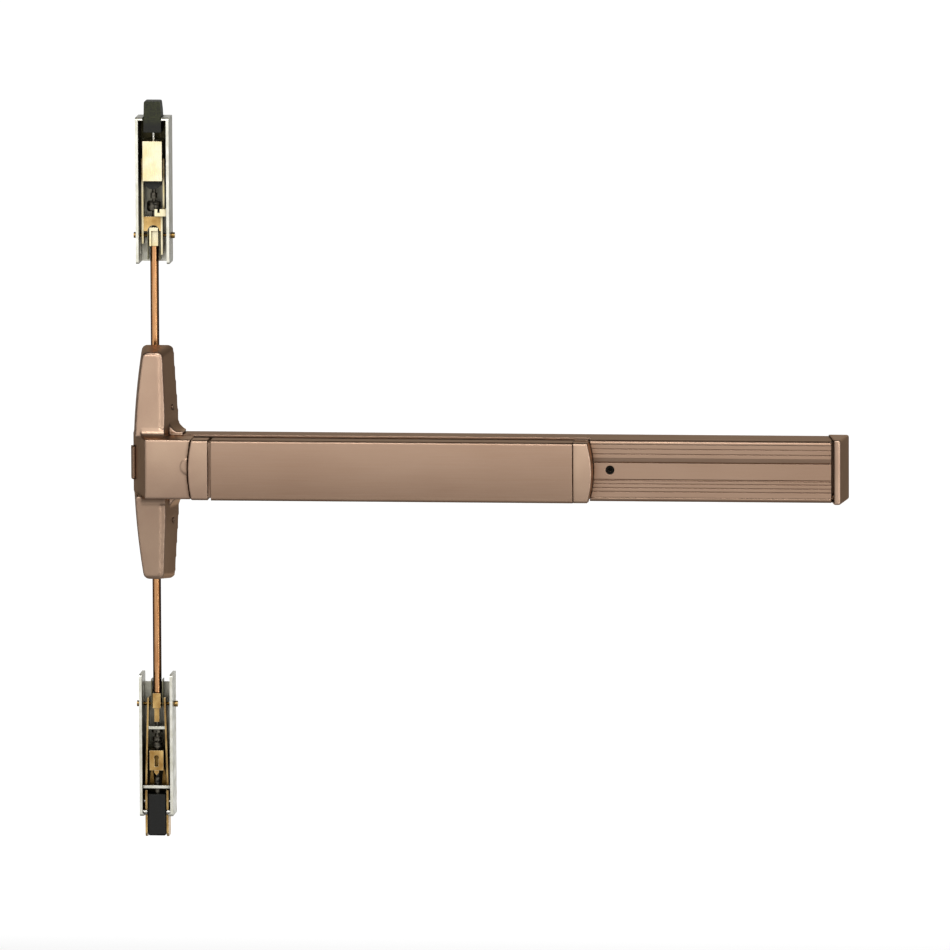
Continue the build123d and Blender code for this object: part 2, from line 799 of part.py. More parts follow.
def plug_core(thickness, play):
    """Part of the plug that fills the opening, or with play the opening itself."""
    return Box(2 * (plug_half - plug_margin + play), plug_depth - 2 * (plug_margin - 1 - play), thickness)


def side_plug():
    """Filler plate in the unused opening of the case's left side."""
    plate = Pos(0, 0, plug_proud / 2 + seat) * Box(2 * plug_half, plug_depth, plug_proud)
    plate = fillet(plate.edges().filter_by(Axis.Z), 2)
    return facet_plane() * (plate + Pos(0, 0, -case_wall / 2) * plug_core(case_wall + 0.6, 0))


def case_screw_face(side):
    """X of the right facet of a wing where its cover screw sits."""
    fraction = (lug_z - case_waist_half) / (case_end - case_waist_half)
    base = case_waist_right + fraction * (case_end_right - case_waist_right)
    return base + screw_y * tan(radians(right_draft))


def case_screw_cut(side):
    x = case_screw_face(side)
    centre = (screw_y, side * lug_z)
    return along_x(disc(2.2, centre), (x - 8, x + 4)) + along_x(disc(2.7, centre), (x - 1.2, x + 4))


def case_screws():
    screws = []
    for side in (1, -1):
        x = case_screw_face(side)
        centre = (screw_y, side * lug_z)
        body = along_x(disc(1.9, centre), (x - 9, x - 1)) + along_x(disc(2.5, centre), (x - 1.1, x + 0.2))
        socket = along_x(Pos(*centre) * RegularPolygon(1.3, 6), (x - 0.8, x + 1))
        screws.append((body - socket).solid())
    return Compound(children=screws)


def center_chassis():
    """Base plate of the centre case, screwed to the door."""
    gap = case_wall + slip + chassis_thickness * tan(radians(right_draft))
    plate = case_outline(gap) & area((case_bow_left, chassis_right), (-chassis_end, chassis_end))
    plate += area((0, chassis_right), (-rail_half, rail_half))
    slot_low = finger_shelf()[0] - rod_travel - 1
    slot_high = finger_shelf()[1] + 1
    for side in (1, -1):
        low, high = sorted((side * slot_low, side * slot_high))
        plate -= area((-7, 7), (low, high))
        plate -= disc(pivot_radius + seat, lifter_points(side)[0])
        for x in door_screw_x:
            plate -= disc(door_screw_radius, (x, side * door_screw_z))
    body = along_y(plate, (-chassis_thickness, 0))
    tongue = area((14, chassis_tongue), (-8, 8))
    for x in (45, 54):
        tongue -= disc(1.8, (x, 0))
    body += along_y(tongue, (-chassis_thickness - 2.5, -chassis_thickness - 0.0))
    for side in (1, -1):
        x = case_screw_face(side) - 6.5
        low, high = sorted((side * (lug_z - lug_size / 2), side * (lug_z + lug_size / 2)))
        lug = block((x - 2.5, x), (screw_y - 6, -chassis_thickness), (low, high))
        body += lug
        body -= along_x(disc(1.95, (screw_y, side * lug_z)), (x - 3, x + 1))
    return body


def end_cap():
    half = rail_half + cap_grow
    front = -rail_depth - cap_grow
    plan = polygon(
        [(cap_back_left, 0), (cap_back_right, 0), (cap_front_right, front), (cap_front_left, front)]
    )
    body = along_z(plan, (-half, half))
    ends = body.edges().filter_by(lambda e: abs(abs(e.center().Z) - half) < 0.01)
    rounding = ends.filter_by(lambda e: e.center().Y > -rail_depth and e.center().X > rail_right)
    rounding += body.edges().filter_by(Axis.Z).sort_by(Axis.Y)[:2]
    body = fillet(rounding, 2.0)
    pocket = block(
        (cap_back_left - 1, rail_right + 0.3),
        (-rail_depth - slip, 1),
        (-rail_half - slip, rail_half + slip),
    )
    inner_half = half - cap_wall - 1
    inner = polygon(
        [
            (rail_right, 1),
            (cap_back_right - cap_wall, 1),
            (cap_front_right - cap_wall, front + cap_wall),
            (rail_right, front + cap_wall),
        ]
    )
    return body - pocket - along_z(inner, (-inner_half, inner_half))


def end_bracket():
    """Bent plate that fixes the far end of the rail to the door."""
    floor = -rail_floor
    x = end_screw_places[0][0]
    half = rail_half - rail_wall - 2
    body = block((x - 16, x + 12), (floor - 2.5, floor), (-half, half))
    for side in (-1, 1):
        low, high = sorted((side * (half - 2.5), side * half))
        body += block((x - 16, x + 12), (floor - 16, floor), (low, high))
    for place in end_screw_places:
        body -= along_y(disc(door_screw_radius, place), (floor - 3, floor))
    return body


def dog_bracket():
    """Bridge over the rail's floor that carries the dogging screw."""
    floor = -rail_floor
    top = -bridge_front
    x = (dog_x - bridge_half, dog_x + bridge_half)
    body = block(x, (top, top + 2.5), (-20, 20))
    for side in (-1, 1):
        low, high = sorted((side * 17.5, side * 20))
        body += block(x, (top, floor), (low, high))
        low, high = sorted((side * 12, side * 20))
        body += block(x, (floor - 2.5, floor), (low, high))
    return body - along_y(disc(dog_radius + running, (dog_x, dog_z)), (top - 1, top + 3))


def dogging_screw():
    centre = (dog_x, dog_z)
    body = along_y(disc(dog_radius, centre), (-rail_depth + 5.2, -20))
    body += along_y(disc(5.4, centre), (-24.3, -20))
    body -= along_y(Pos(*centre) * RegularPolygon(2.3, 6), (-rail_depth, -rail_depth + 12))
    flat = hook_y[0] - 0.5, hook_y[1] + 0.5
    return body - block((dog_x - 6, dog_x + 6), flat, (dog_z + 3, dog_z + 5))


def dogging_hook():
    """J-shaped hook keyed on the dogging screw. It points down until the screw is turned."""
    plate = disc(hook_hub, (0, 0)) + area(hook_stem, (hook_tooth[0], 0))
    plate += area((hook_tip, hook_stem[1]), hook_tooth)
    plate -= disc(dog_radius + seat, (0, 0)) & area((-6, 6), (-6, 3 + seat))
    return Pos(dog_x, 0, dog_z) * along_y(plate, hook_y)


def latch_channel(z, web_z, bolt_half, end_side):
    """Channel open to the room, closed at the end that the bolt comes out of."""
    y = (latch_front, latch_back)
    inner = latch_half - latch_gauge
    flange = Pos(sum(y) / 2, sum(z) / 2) * Rectangle(y[1] - y[0], z[1] - z[0])
    flange = fillet(flange.vertices(), 2.5)
    body = along_x(flange, (-latch_half, latch_half))
    open_z = (z[0] + (latch_gauge if end_side < 0 else -1), z[1] + (1 if end_side < 0 else -latch_gauge))
    body -= block((-inner, inner), (y[0] - 1, y[1] - latch_gauge), open_z)
    if end_side < 0:
        body -= block((-inner, inner), (y[0] - 1, y[1] + 1), (web_z[1], z[1] + 1))
    end_z = (z[1] - latch_gauge - 1, z[1] + 1) if end_side > 0 else (z[0] - 1, z[0] + latch_gauge + 1)
    body -= block((-bolt_half, bolt_half), (bolt_y[0] - 0.6, bolt_y[1] + 0.6), end_z)
    return body


def pin_slots(travel):
    """Slots in both flanges that the cross pin runs along."""
    low, high = sorted((0, travel))
    radius = cross_pin_radius + slot_play
    sketch = arm((rod_y, low - slot_play), (rod_y, high + slot_play), radius, radius)
    return along_x(sketch, (-latch_half - 1, latch_half + 1))


def web_holes(heights):
    first, second = [along_y(disc(latch_hole_radius, (0, z)), (bolt_y[1], latch_back + 1)) for z in heights]
    return first + second


def stud_at(y, radius, z):
    """Upright cylinder in line with a stud, cut out or kept."""
    return along_z(disc(radius, (0, y)), z)


def bottom_stud_hole(z):
    return stud_at(bottom_stud_y, bottom_stud_radius + stud_bore, (z[0] - 1, z[1] + 1))


def top_channel():
    body = latch_channel(top_channel_z, top_channel_z, top_bolt_half + 0.6, 1)
    return body - pin_slots(-rod_travel) - web_holes(top_holes_z)


def top_bolt():
    """Nylon nosed bolt, tapered towards its end, with a skirt inside the channel."""
    root, end = top_bolt_z
    mouth = top_channel_z[1] - 1
    half = top_bolt_half - 0.2
    outline = [(-half, root), (half, root), (half, mouth)]
    outline += [(half - 0.8, end), (0.5 - half, end), (0.1 - half, mouth)]
    body = along_y(polygon(outline), bolt_y)
    body = fillet(body.edges().filter_by(Axis.Y).sort_by(Axis.Z)[-2:], 1.5)
    back = bolt_y[1]
    bevel = polygon([(back, end - 9), (back + 1, end - 9), (back + 1, end + 1), (back - 5, end + 1)])
    body -= along_x(bevel, (-12, 12))
    return body - stud_at(top_stud_y, top_stem_radius + seat, (root - 1, root + top_bolt_grip + 0.2))


def cross_pin():
    body = along_x(disc(cross_pin_radius, (rod_y, 0)), (-cross_end, cross_end))
    for side in (-1, 1):
        low, high = sorted((side * (latch_half + slip), side * cross_end))
        body += along_x(disc(cross_head_radius, (rod_y, 0)), (low, high))
    return body


def pin_bore(play):
    return along_x(disc(cross_pin_radius + play, (rod_y, 0)), (-latch_half, latch_half))


def top_yokes():
    """Brass straps that tie the slide block to the cross pin. The right one is cranked inwards."""
    top = top_block_z[0] + strap_overlap
    outer_x = (strap_x, strap_x + strap_thickness)
    left = block((-outer_x[1], -outer_x[0]), strap_y, (strap_low, top))
    right = block(outer_x, strap_y, (strap_bend_z[1], top))
    right += block((strap_inner_x, outer_x[1]), strap_y, strap_bend_z)
    right += block((strap_inner_x, strap_inner_x + strap_thickness), strap_y, (strap_tail, strap_bend_z[1]))
    return left + right - pin_bore(seat)


def top_block():
    half = strap_x - 0.1
    body = block((-half, half), top_block_y, top_block_z)
    body = chamfer(body.edges().filter_by(Axis.Y), 0.4)
    high = top_block_z[1]
    return body - stud_at(top_stud_y, top_stem_radius + seat, (high - top_stem_grip - 0.2, high + 1))


def top_stem():
    """Threaded stud between the slide block and the bolt."""
    z = (top_block_z[1] - top_stem_grip, top_bolt_z[0] + top_bolt_grip)
    return stud_at(top_stud_y, top_stem_radius, z)


def top_connector():
    """Clevis on the rod's end that the cross pin goes through."""
    low, high = top_connector_z
    body = block((-3.9, 4.3), (14, 28), (low, high))
    body -= block((-2.2, 4.4), (13, 16), (low - 1, high - 3.3))
    body -= along_z(disc(rod_thread_radius + seat, (0, rod_y)), (low - 1, low + 6.5))
    return body - pin_bore(seat)


def top_plate():
    """Front plate between the straps, arched over the connector."""
    low = top_plate_z[0]
    face = area((-strap_x, strap_inner_x), top_plate_z) - disc(top_arch_radius, (0.2, low))
    return along_y(face, (strap_y[0], strap_y[0] + 2)) - pin_bore(1)


def top_catch():
    """Small Z-bent catch in front of the right strap."""
    low, bend, high = catch_z
    profile = area((catch_x[0], catch_x[3]), (low, bend))
    for pair in (catch_x[:2], catch_x[2:]):
        profile += area(pair, (low, high))
    return along_y(profile, (strap_y[0] - 4.6, strap_y[0]))


def top_adjuster():
    """Blackened adjusting stud with its knurled knob and its lock nut."""
    centre = (0, top_stud_y)
    knob = along_z(disc(knob_radius, centre), knob_z)
    knob = chamfer(knob.edges().filter_by(GeomType.CIRCLE), 1.2)
    nut = along_z(Pos(*centre) * RegularPolygon(3.3, 6), lock_nut_z)
    return along_z(disc(top_adjuster_radius, centre), top_adjuster_z) + knob + nut


def top_buffer():
    """Half-round rubber buffer under the slide block."""
    high = top_block_z[0]
    r = buffer_radius
    face = disc(r, (0, high)) & area((-r, r), (high - r, high))
    bore = stud_at(top_stud_y, top_adjuster_radius + stud_bore, (high - r - 1, high + 1))
    return along_y(face, strap_y) - bore


def rod_clip(side, legs, spread):
    """Thin U-shaped clip that hangs on the cross pin and straddles the rod."""
    low, high = sorted((side * 3.5, -side * legs))
    back_low, back_high = sorted((side * 3.5, -side * 2))
    body = block((-spread - 0.8, spread + 0.8), (28.2, 29), (back_low, back_high))
    for x in ((-spread - 0.8, -spread), (spread, spread + 0.8)):
        body += block(x, (18, 29), (low, high))
    return body - pin_bore(seat)


def bottom_channel():
    body = latch_channel((bottom_channel_z[0], bottom_ears), bottom_channel_z, bottom_bolt_half + 3.4, -1)
    return body - pin_slots(rod_travel) - web_holes(bottom_holes_z)


def bolt_pin_bore(play):
    return along_x(disc(bolt_pin_radius + play, (top_stud_y, bolt_pin_z)), (-bolt_pin_half, bolt_pin_half))


def bottom_bolt():
    """Black rectangular bolt with rounded nose corners."""
    root = bottom_bolt_z[1]
    body = block((-bottom_bolt_half, bottom_bolt_half), bolt_y, bottom_bolt_z)
    body = fillet(body.edges().filter_by(Axis.Y).sort_by(Axis.Z)[:2], 2.2)
    body = fillet(body.edges().filter_by(Axis.X).sort_by(Axis.Z)[:2], 2.0)
    bore = stud_at(bottom_stud_y, bottom_stud_radius + seat, (bottom_stud_z[0] - 0.4, root + 1))
    return body - bore - bolt_pin_bore(seat)


def bottom_side_plates():
    """Brass guide plates either side of the bolt."""
    face = area((bolt_y[0] + 1, bolt_y[1] - 1), (bottom_bolt_z[0] - 1, side_plate_top))
    face = fillet(face.vertices().group_by(Axis.Y)[0], 4)
    inner = bottom_bolt_half + 0.4
    return along_x(face, (-inner - 2, -inner)) + along_x(face, (inner, inner + 2)) - bolt_pin_bore(seat)


def bottom_lower_bar():
    """Steel cross bar that the straps, the side plates and the carrier hang on."""
    body = block((-lower_bar_half, lower_bar_half), (9, 25), lower_bar_z)
    return body - bottom_stud_hole(lower_bar_z)


def bottom_yokes():
    """Brass straps from the cross pin down to the steel bar, set slightly apart at the bottom."""
    low = lower_bar_z[1]
    outline = [(yoke_top_x, yoke_top), (yoke_top_x + strap_thickness, yoke_top)]
    outline += [(yoke_bottom_x + strap_thickness, low), (yoke_bottom_x, low)]
    face = polygon(outline)
    face += mirror(face, about=Plane.YZ)
    straps = along_y(face, yoke_y)
    webs = along_y(face & area((-12, 12), (-yoke_top - 0.2, yoke_top)), (yoke_y[1], 26))
    return straps + webs - pin_bore(seat)


def bottom_connector():
    low, high = bottom_connector_z
    body = block((-3.7, 3.7), (14, 28), bottom_connector_z)
    body += block((-2.4, 2.4), (15, 20), (bottom_connector_neck, low))
    body -= along_z(disc(rod_thread_radius + seat, (0, rod_y)), (high - 6.5, high + 1))
    return body - pin_bore(seat)


def bottom_upper_plate():
    """Steel cross plate between the straps, with the adjusting stud's hole."""
    body = block((-7.7, 7.7), (12, 24), upper_plate_z)
    return body - bottom_stud_hole(upper_plate_z)


def bottom_adjuster():
    """Stud with its collars, from the upper plate through the block to the bar."""
    body = stud_at(bottom_stud_y, bottom_stud_radius, bottom_stud_z)
    for low, height, radius in collars:
        body += stud_at(bottom_stud_y, radius, (low, low + height))
    return body


def bottom_block():
    """Brass slide block with a keyhole window in front of the stud."""
    body = block((-6.6, 6.6), bottom_block_y, bottom_block_z)
    window = area((-window_half, window_half), window_z) + disc(keyhole_radius, (0, keyhole_z))
    body -= along_y(window, (bottom_block_y[0] - 1, bottom_block_y[0] + 3.5))
    return body - bottom_stud_hole(bottom_block_z)


def bottom_pointer():
    """Pointed brass indicator under the block."""
    high = bottom_block_z[0] - 0.1
    face = polygon([(-2.3, high), (2.3, high), (2.3, high - 1.8), (0, high - 4.7), (-2.3, high - 1.8)])
    return along_y(face, (bottom_block_y[0], bottom_block_y[0] + 3.4))


def bottom_carrier():
    """Pair of angled brass plates between the block and the steel bar."""
    low, high = lower_bar_z[1] + 0.1, bottom_block_z[0] - 0.1
    face = polygon([(6.6, high), (5.0, high), (3.6, low), (8.4, low)])
    return along_y(face + mirror(face, about=Plane.YZ), (22.4, 25))


pieces["rail"] = rail()
pieces["rail_cover"] = rail_cover()
pieces["push_bar"] = push_bar()
pieces["push_bar_end_left"] = bar_end(-1)
pieces["push_bar_end_right"] = bar_end(1)
pieces["push_bar_forks"] = bar_brackets()
pieces["bell_crank_left"] = bell_crank(crank_x[0])
pieces["bell_crank_right"] = bell_crank(crank_x[1])
pieces["crank_stands"] = crank_stands()
pieces["crank_pivots"] = crank_pivots()
pieces["link_bar"] = link_bar()
pieces["spring_rod"] = spring_rod()
pieces["link_spring"] = link_spring()
pieces["spring_bracket"] = spring_bracket()
pieces["actuator_slide"] = actuator_slide()
pieces["actuator_rivet"] = actuator_rivet()
pieces["center_case"] = center_case()
pieces["center_chassis"] = center_chassis()
pieces["side_plug"] = side_plug()
pieces["case_screws"] = case_screws()
pieces["lifter_pivots"] = lifter_pivots()
pieces["end_cap"] = end_cap()
pieces["end_bracket"] = end_bracket()
pieces["dogging_bracket"] = dog_bracket()
pieces["dogging_screw"] = dogging_screw()
pieces["dogging_hook"] = dogging_hook()
rod_ends = (top_pin_z + top_connector_z[0], bottom_pin_z + bottom_connector_z[1])
for name, side, end in (("upper", 1, rod_ends[0]), ("lower", -1, rod_ends[1])):
    pieces[name + "_lifter"] = lifter(side)
    pieces[name + "_finger"] = finger(side)
    pieces[name + "_rod"] = rod(side, end)
    pieces[name + "_rod_nuts"] = rod_nuts(side)

top_latch = {
    "channel": top_channel(),
    "bolt": top_bolt(),
    "stem": top_stem(),
    "block": top_block(),
    "yokes": top_yokes(),
    "cross_pin": cross_pin(),
    "connector": top_connector(),
    "plate": top_plate(),
    "catch": top_catch(),
    "adjuster": top_adjuster(),
    "buffer": top_buffer(),
    "rod_clip": rod_clip(1, 23, 5.4),
}
bottom_latch = {
    "channel": bottom_channel(),
    "bolt": bottom_bolt(),
    "side_plates": bottom_side_plates(),
    "bolt_pin": bolt_pin_bore(0),
    "lower_bar": bottom_lower_bar(),
    "yokes": bottom_yokes(),
    "cross_pin": cross_pin(),
    "connector": bottom_connector(),
    "upper_plate": bottom_upper_plate(),
    "adjuster": bottom_adjuster(),
    "block": bottom_block(),
    "pointer": bottom_pointer(),
    "carrier": bottom_carrier(),
    "rod_clip": rod_clip(-1, 24, 5.0),
}
for name, shape in top_latch.items():
    pieces["top_" + name] = Pos(0, 0, top_pin_z) * shape
for name, shape in bottom_latch.items():
    pieces["bottom_" + name] = Pos(0, 0, bottom_pin_z) * shape

os.makedirs("parts", exist_ok=True)
for name, shape in pieces.items():
    export_step(shape, f"parts/{name}.step")
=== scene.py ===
"""Looks of a vertical rod exit device: finishes, stage, lamps and camera around its fixed frame."""

from math import cos, floor, pi, radians, sin

import bmesh
import bpy
from mathutils import Matrix, Vector


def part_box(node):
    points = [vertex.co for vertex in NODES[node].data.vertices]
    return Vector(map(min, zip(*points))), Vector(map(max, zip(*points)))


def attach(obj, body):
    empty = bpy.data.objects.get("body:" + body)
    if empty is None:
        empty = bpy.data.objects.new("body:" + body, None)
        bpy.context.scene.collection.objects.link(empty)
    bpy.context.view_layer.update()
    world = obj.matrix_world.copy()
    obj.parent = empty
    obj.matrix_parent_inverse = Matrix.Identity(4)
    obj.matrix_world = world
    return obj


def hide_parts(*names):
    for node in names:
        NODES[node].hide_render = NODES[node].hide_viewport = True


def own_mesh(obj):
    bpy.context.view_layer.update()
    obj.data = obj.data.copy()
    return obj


bl_info = {
    "name": "Exit Device Finishes",
    "version": (1, 0, 0),
    "blender": (4, 5, 0),
    "location": "View3D > Sidebar > Exit Device",
    "description": "Gives a vertical rod exit device its finishes, stage and camera",
    "category": "Object",
}

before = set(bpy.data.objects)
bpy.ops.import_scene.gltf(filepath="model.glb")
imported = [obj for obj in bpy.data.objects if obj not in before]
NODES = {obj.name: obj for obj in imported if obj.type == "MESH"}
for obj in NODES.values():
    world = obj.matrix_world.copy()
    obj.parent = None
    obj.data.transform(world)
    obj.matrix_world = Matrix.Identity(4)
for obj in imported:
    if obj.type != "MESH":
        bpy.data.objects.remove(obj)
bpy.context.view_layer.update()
MM = 0.001
MATH = "ShaderNodeMath"
RANGE = "ShaderNodeMapRange"
MASK_SAMPLES = 6
NOISE_RANGE = (0.3, 0.7)  # where nearly all of a noise's values lie
CLOUD_RANGE = (0.35, 0.65)  # a little narrower, so that clouds have full light and dark in them
RING_STEPS = 96
SPIN_STEPS = 32
WELD = 0.01 * MM
# Real marks of rolling, milling, drawing, turning and spark erosion are 0.2 mm apart or less, which is too fine
# to show in the render, so all five are coarser here.
ROLLED_LINES = 0.8 * MM
MILLED_MARKS = 0.7 * MM
DRAWN_LINES = 0.6 * MM
TURNED_MARKS = 0.9 * MM
SPARK_GRAIN = 0.8 * MM
DEVICE_MIDDLE = Vector((0.3, 0, 0))
LAMPS = (  # name, size and power of each soft panel, and where it stands
    ("soft_panel", (1.2, 0.8), 5, (0.1, -3.2, 1.3)),
    ("side_strip", (0.35, 2.4), 20, (2.2, -2.8, 0.3)),
    ("top_strip", (3.0, 0.3), 40, (0.3, -2.0, 1.7)),
)


def linear(hex_colour):
    """Linear red, green and blue of an sRGB hex colour."""
    channels = [int(hex_colour[i : i + 2], 16) / 255 for i in (0, 2, 4)]
    return tuple(c / 12.92 if c <= 0.04045 else ((c + 0.055) / 1.055) ** 2.4 for c in channels)


def add(tree, kind, inputs=(), out=0, **settings):
    """Adds a node with its settings, and gives one of its outputs.

    Inputs come in order or by name. Each is a socket to link from, a colour or a plain value.
    """
    node = tree.nodes.new(kind)
    for name, value in settings.items():
        setattr(node, name, value)
    for key, value in inputs.items() if isinstance(inputs, dict) else enumerate(inputs):
        socket = node.inputs[key]
        if isinstance(value, bpy.types.NodeSocket):
            tree.links.new(value, socket)
        elif socket.type == "RGBA":
            socket.default_value = (*value[:3], 1)
        else:
            socket.default_value = value
    return node.outputs[out] if len(node.outputs) else node


def start(name):
    """New material, and its node tree with nothing in it."""
    material = bpy.data.materials.new(name)
    material.use_nodes = True
    material.node_tree.nodes.clear()
    return material, material.node_tree


def surface(tree, looks):
    """Shader with the given looks, linked to the output."""
    shader = add(tree, "ShaderNodeBsdfPrincipled", looks)
    add(tree, "ShaderNodeOutputMaterial", [shader])


def coordinate(tree, axis, space="Object"):
    """One coordinate, X, Y or Z, of a point in the object's own space."""
    where = add(tree, "ShaderNodeTexCoord", out=space)
    return add(tree, "ShaderNodeSeparateXYZ", [where], out=axis)


def pattern(tree, size, stretch=(1, 1, 1), detail=2.0, roughness=0.5):
    """Noise whose features have this size, and are longer along an axis whose stretch is under 1."""
    where = add(tree, "ShaderNodeTexCoord", out="Object")
    where = add(tree, "ShaderNodeMapping", {"Vector": where, "Scale": stretch})
    inputs = {"Vector": where, "Scale": 1 / size, "Detail": detail, "Roughness": roughness}
    return add(tree, "ShaderNodeTexNoise", inputs, out="Fac")


def tint(tree, mask, span, under, over):
    """Colour that goes from under to over.

    span holds two values of the mask, and how much of over shows at each.
    """
    share = add(tree, RANGE, [mask, *span])
    return add(tree, "ShaderNodeMix", {0: share, 6: under, 7: over}, out=2, data_type="RGBA")


def edge_mask(tree, radius):
    """1 at outside and inside corners within the radius, 0 on open faces."""
    rounded = add(tree, "ShaderNodeBevel", {"Radius": radius}, samples=MASK_SAMPLES)
    flat = add(tree, "ShaderNodeNewGeometry", out="Normal")
    alike = add(tree, "ShaderNodeVectorMath", [rounded, flat], out="Value", operation="DOT_PRODUCT")
    return add(tree, RANGE, [alike, 1.0, 0.86, 0.0, 1.0])


def cavity_mask(tree, reach):
    """1 deep in a corner or slot, 0 in the open. Every use darkens hollows with painted shade."""
    openness = add(tree, "ShaderNodeAmbientOcclusion", {"Distance": reach}, out="AO", samples=MASK_SAMPLES)
    return add(tree, RANGE, [openness, 0.35, 0.95, 1.0, 0.0])


def relief(tree, height, strength, depth, soft_edge=0.0):
    """Normal of a finely uneven surface whose edges are softened over a radius."""
    inputs = {"Height": height, "Strength": strength, "Distance": depth}
    if soft_edge:
        inputs["Normal"] = add(tree, "ShaderNodeBevel", {"Radius": soft_edge}, samples=MASK_SAMPLES)
    return add(tree, "ShaderNodeBump", inputs)


def cover(piece, material):
    """Puts one material on the whole of a piece."""
    piece.data.materials.clear()
    piece.data.materials.append(material)


def dress(names, material):
    """Puts one material on each of the named frame nodes."""
    for name in names:
        cover(NODES[name], material)


def new_piece(name, form):
    """Piece made from a finished form, which is freed."""
    bmesh.ops.recalc_face_normals(form, faces=form.faces)
    mesh = bpy.data.meshes.new(name)
    form.to_mesh(mesh)
    form.free()
    piece = bpy.data.objects.new(name, mesh)
    bpy.context.scene.collection.objects.link(piece)
    return piece


def settle(piece, shade_smooth):
    """Applies the modifiers of a piece, and leaves none on it."""
    graph = bpy.context.evaluated_depsgraph_get()
    mesh = bpy.data.meshes.new_from_object(piece.evaluated_get(graph))
    piece.modifiers.clear()
    piece.data = mesh
    for polygon in mesh.polygons:
        polygon.use_smooth = shade_smooth


def copy_of(node, name, body="frame"):
    """Copy of a frame node that stands for it, on the same body."""
    piece = bpy.data.objects.new(name, NODES[node].data.copy())
    bpy.context.scene.collection.objects.link(piece)
    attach(piece, body)
    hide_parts(node)
    return piece


def softened(node, name, grain, rounds):
    """Copy whose corners are rounded as a casting's are, by remeshing and smoothing."""
    piece = copy_of(node, name)
    remesh = piece.modifiers.new("remesh", "REMESH")
    remesh.mode = "VOXEL"
    remesh.voxel_size = grain
    smooth = piece.modifiers.new("smooth", "SMOOTH")
    smooth.factor = 0.5
    smooth.iterations = rounds
    settle(piece, shade_smooth=True)
    return piece


def cut_box(piece, low, high):
    """Cuts a box out of a piece."""
    form = bmesh.new()
    bmesh.ops.create_cube(form, size=1)
    for vertex in form.verts:
        vertex.co = [(a + b) / 2 + c * (b - a) for a, b, c in zip(low, high, vertex.co)]
    cutter = new_piece("cutter", form)
    mesh = cutter.data
    cut = piece.modifiers.new("cut", "BOOLEAN")
    cut.operation = "DIFFERENCE"
    cut.solver = "EXACT"
    cut.object = cutter
    settle(piece, shade_smooth=False)
    bpy.data.objects.remove(cutter)
    bpy.data.meshes.remove(mesh)


def notched_channel(node, name, notch_half, end):
    """Latch channel whose end wall has a notch open to the front, where the bolt comes out.

    end is 1 where the wall is at the top of the channel and -1 where it is at the bottom.
    """
    notch_depth = 15 * MM
    past_wall = 3 * MM
    piece = copy_of(node, name)
    low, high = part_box(node)
    tip = high[2] if end > 0 else low[2]
    wall = sorted((tip - end * past_wall, tip + end * MM))
    cut_box(piece, (-notch_half, low[1] - MM, wall[0]), (notch_half, low[1] + notch_depth, wall[1]))
    return piece


def turned_piece(name, profile, centre, side):
    """Piece turned about a line along x, from a profile of (distance along x, radius) in metres."""
    form = bmesh.new()
    corners = [form.verts.new((centre[0] + side * x, centre[1], centre[2] + radius)) for x, radius in profile]
    lines = [form.edges.new(pair) for pair in zip(corners, corners[1:])]
    turn = {"cent": centre, "axis": (1, 0, 0), "angle": 2 * pi, "steps": SPIN_STEPS}
    bmesh.ops.spin(form, geom=corners + lines, use_merge=True, **turn)
    bmesh.ops.remove_doubles(form, verts=form.verts, dist=WELD)
    return new_piece(name, form)


def ring_skin(name, rings):
    """Closed skin over a stack of rings, each a list of points going the same way round."""
    form = bmesh.new()
    rows = [[form.verts.new(point) for point in ring] for ring in rings]
    for lower, upper in zip(rows, rows[1:]):
        for i in range(len(lower)):
            j = (i + 1) % len(lower)
            form.faces.new((lower[i], lower[j], upper[j], upper[i]))
    form.faces.new(list(reversed(rows[0])))
    form.faces.new(rows[-1])
    return new_piece(name, form)


def rod_ring(axis, z, flats, crown):
    """Ring of a hexagonal rod. Its flats are crowned: 0 leaves them flat, and at 1 the rod is round."""
    round_share = 1.03  # a round rod of the same stock, next to the hexagon's across flats
    ring = []
    for i in range(RING_STEPS):
        turn = 2 * pi * i / RING_STEPS
        from_flat = (turn + pi / 6) % (pi / 3) - pi / 6
        radius = flats / 2 * ((1 - crown) / cos(from_flat) + crown * round_share)
        ring.append((axis[0] + radius * sin(turn), axis[1] - radius * cos(turn), z))
    return ring


def thread_ring(axis, z, radius, pitch, depth):
    """Ring of a rolled thread, deep where its groove passes."""
    ring = []
    for i in range(RING_STEPS):
        turn = 2 * pi * i / RING_STEPS
        turns_up = z / pitch - i / RING_STEPS
        groove = abs(2 * (turns_up - floor(turns_up)) - 1)
        reach = radius - depth * groove
        ring.append((axis[0] + reach * sin(turn), axis[1] - reach * cos(turn), z))
    return ring


def thread_rings(axis, low, high, finish):
    """Rings of a threaded end, four to each turn of the thread."""
    count = max(2, round((high - low) / (finish.thread_pitch / 4)))
    heights = [low + (high - low) * i / count for i in range(count + 1)]
    sizes = (finish.thread_radius, finish.thread_pitch, finish.thread_depth)
    return [thread_ring(axis, z, *sizes) for z in heights]


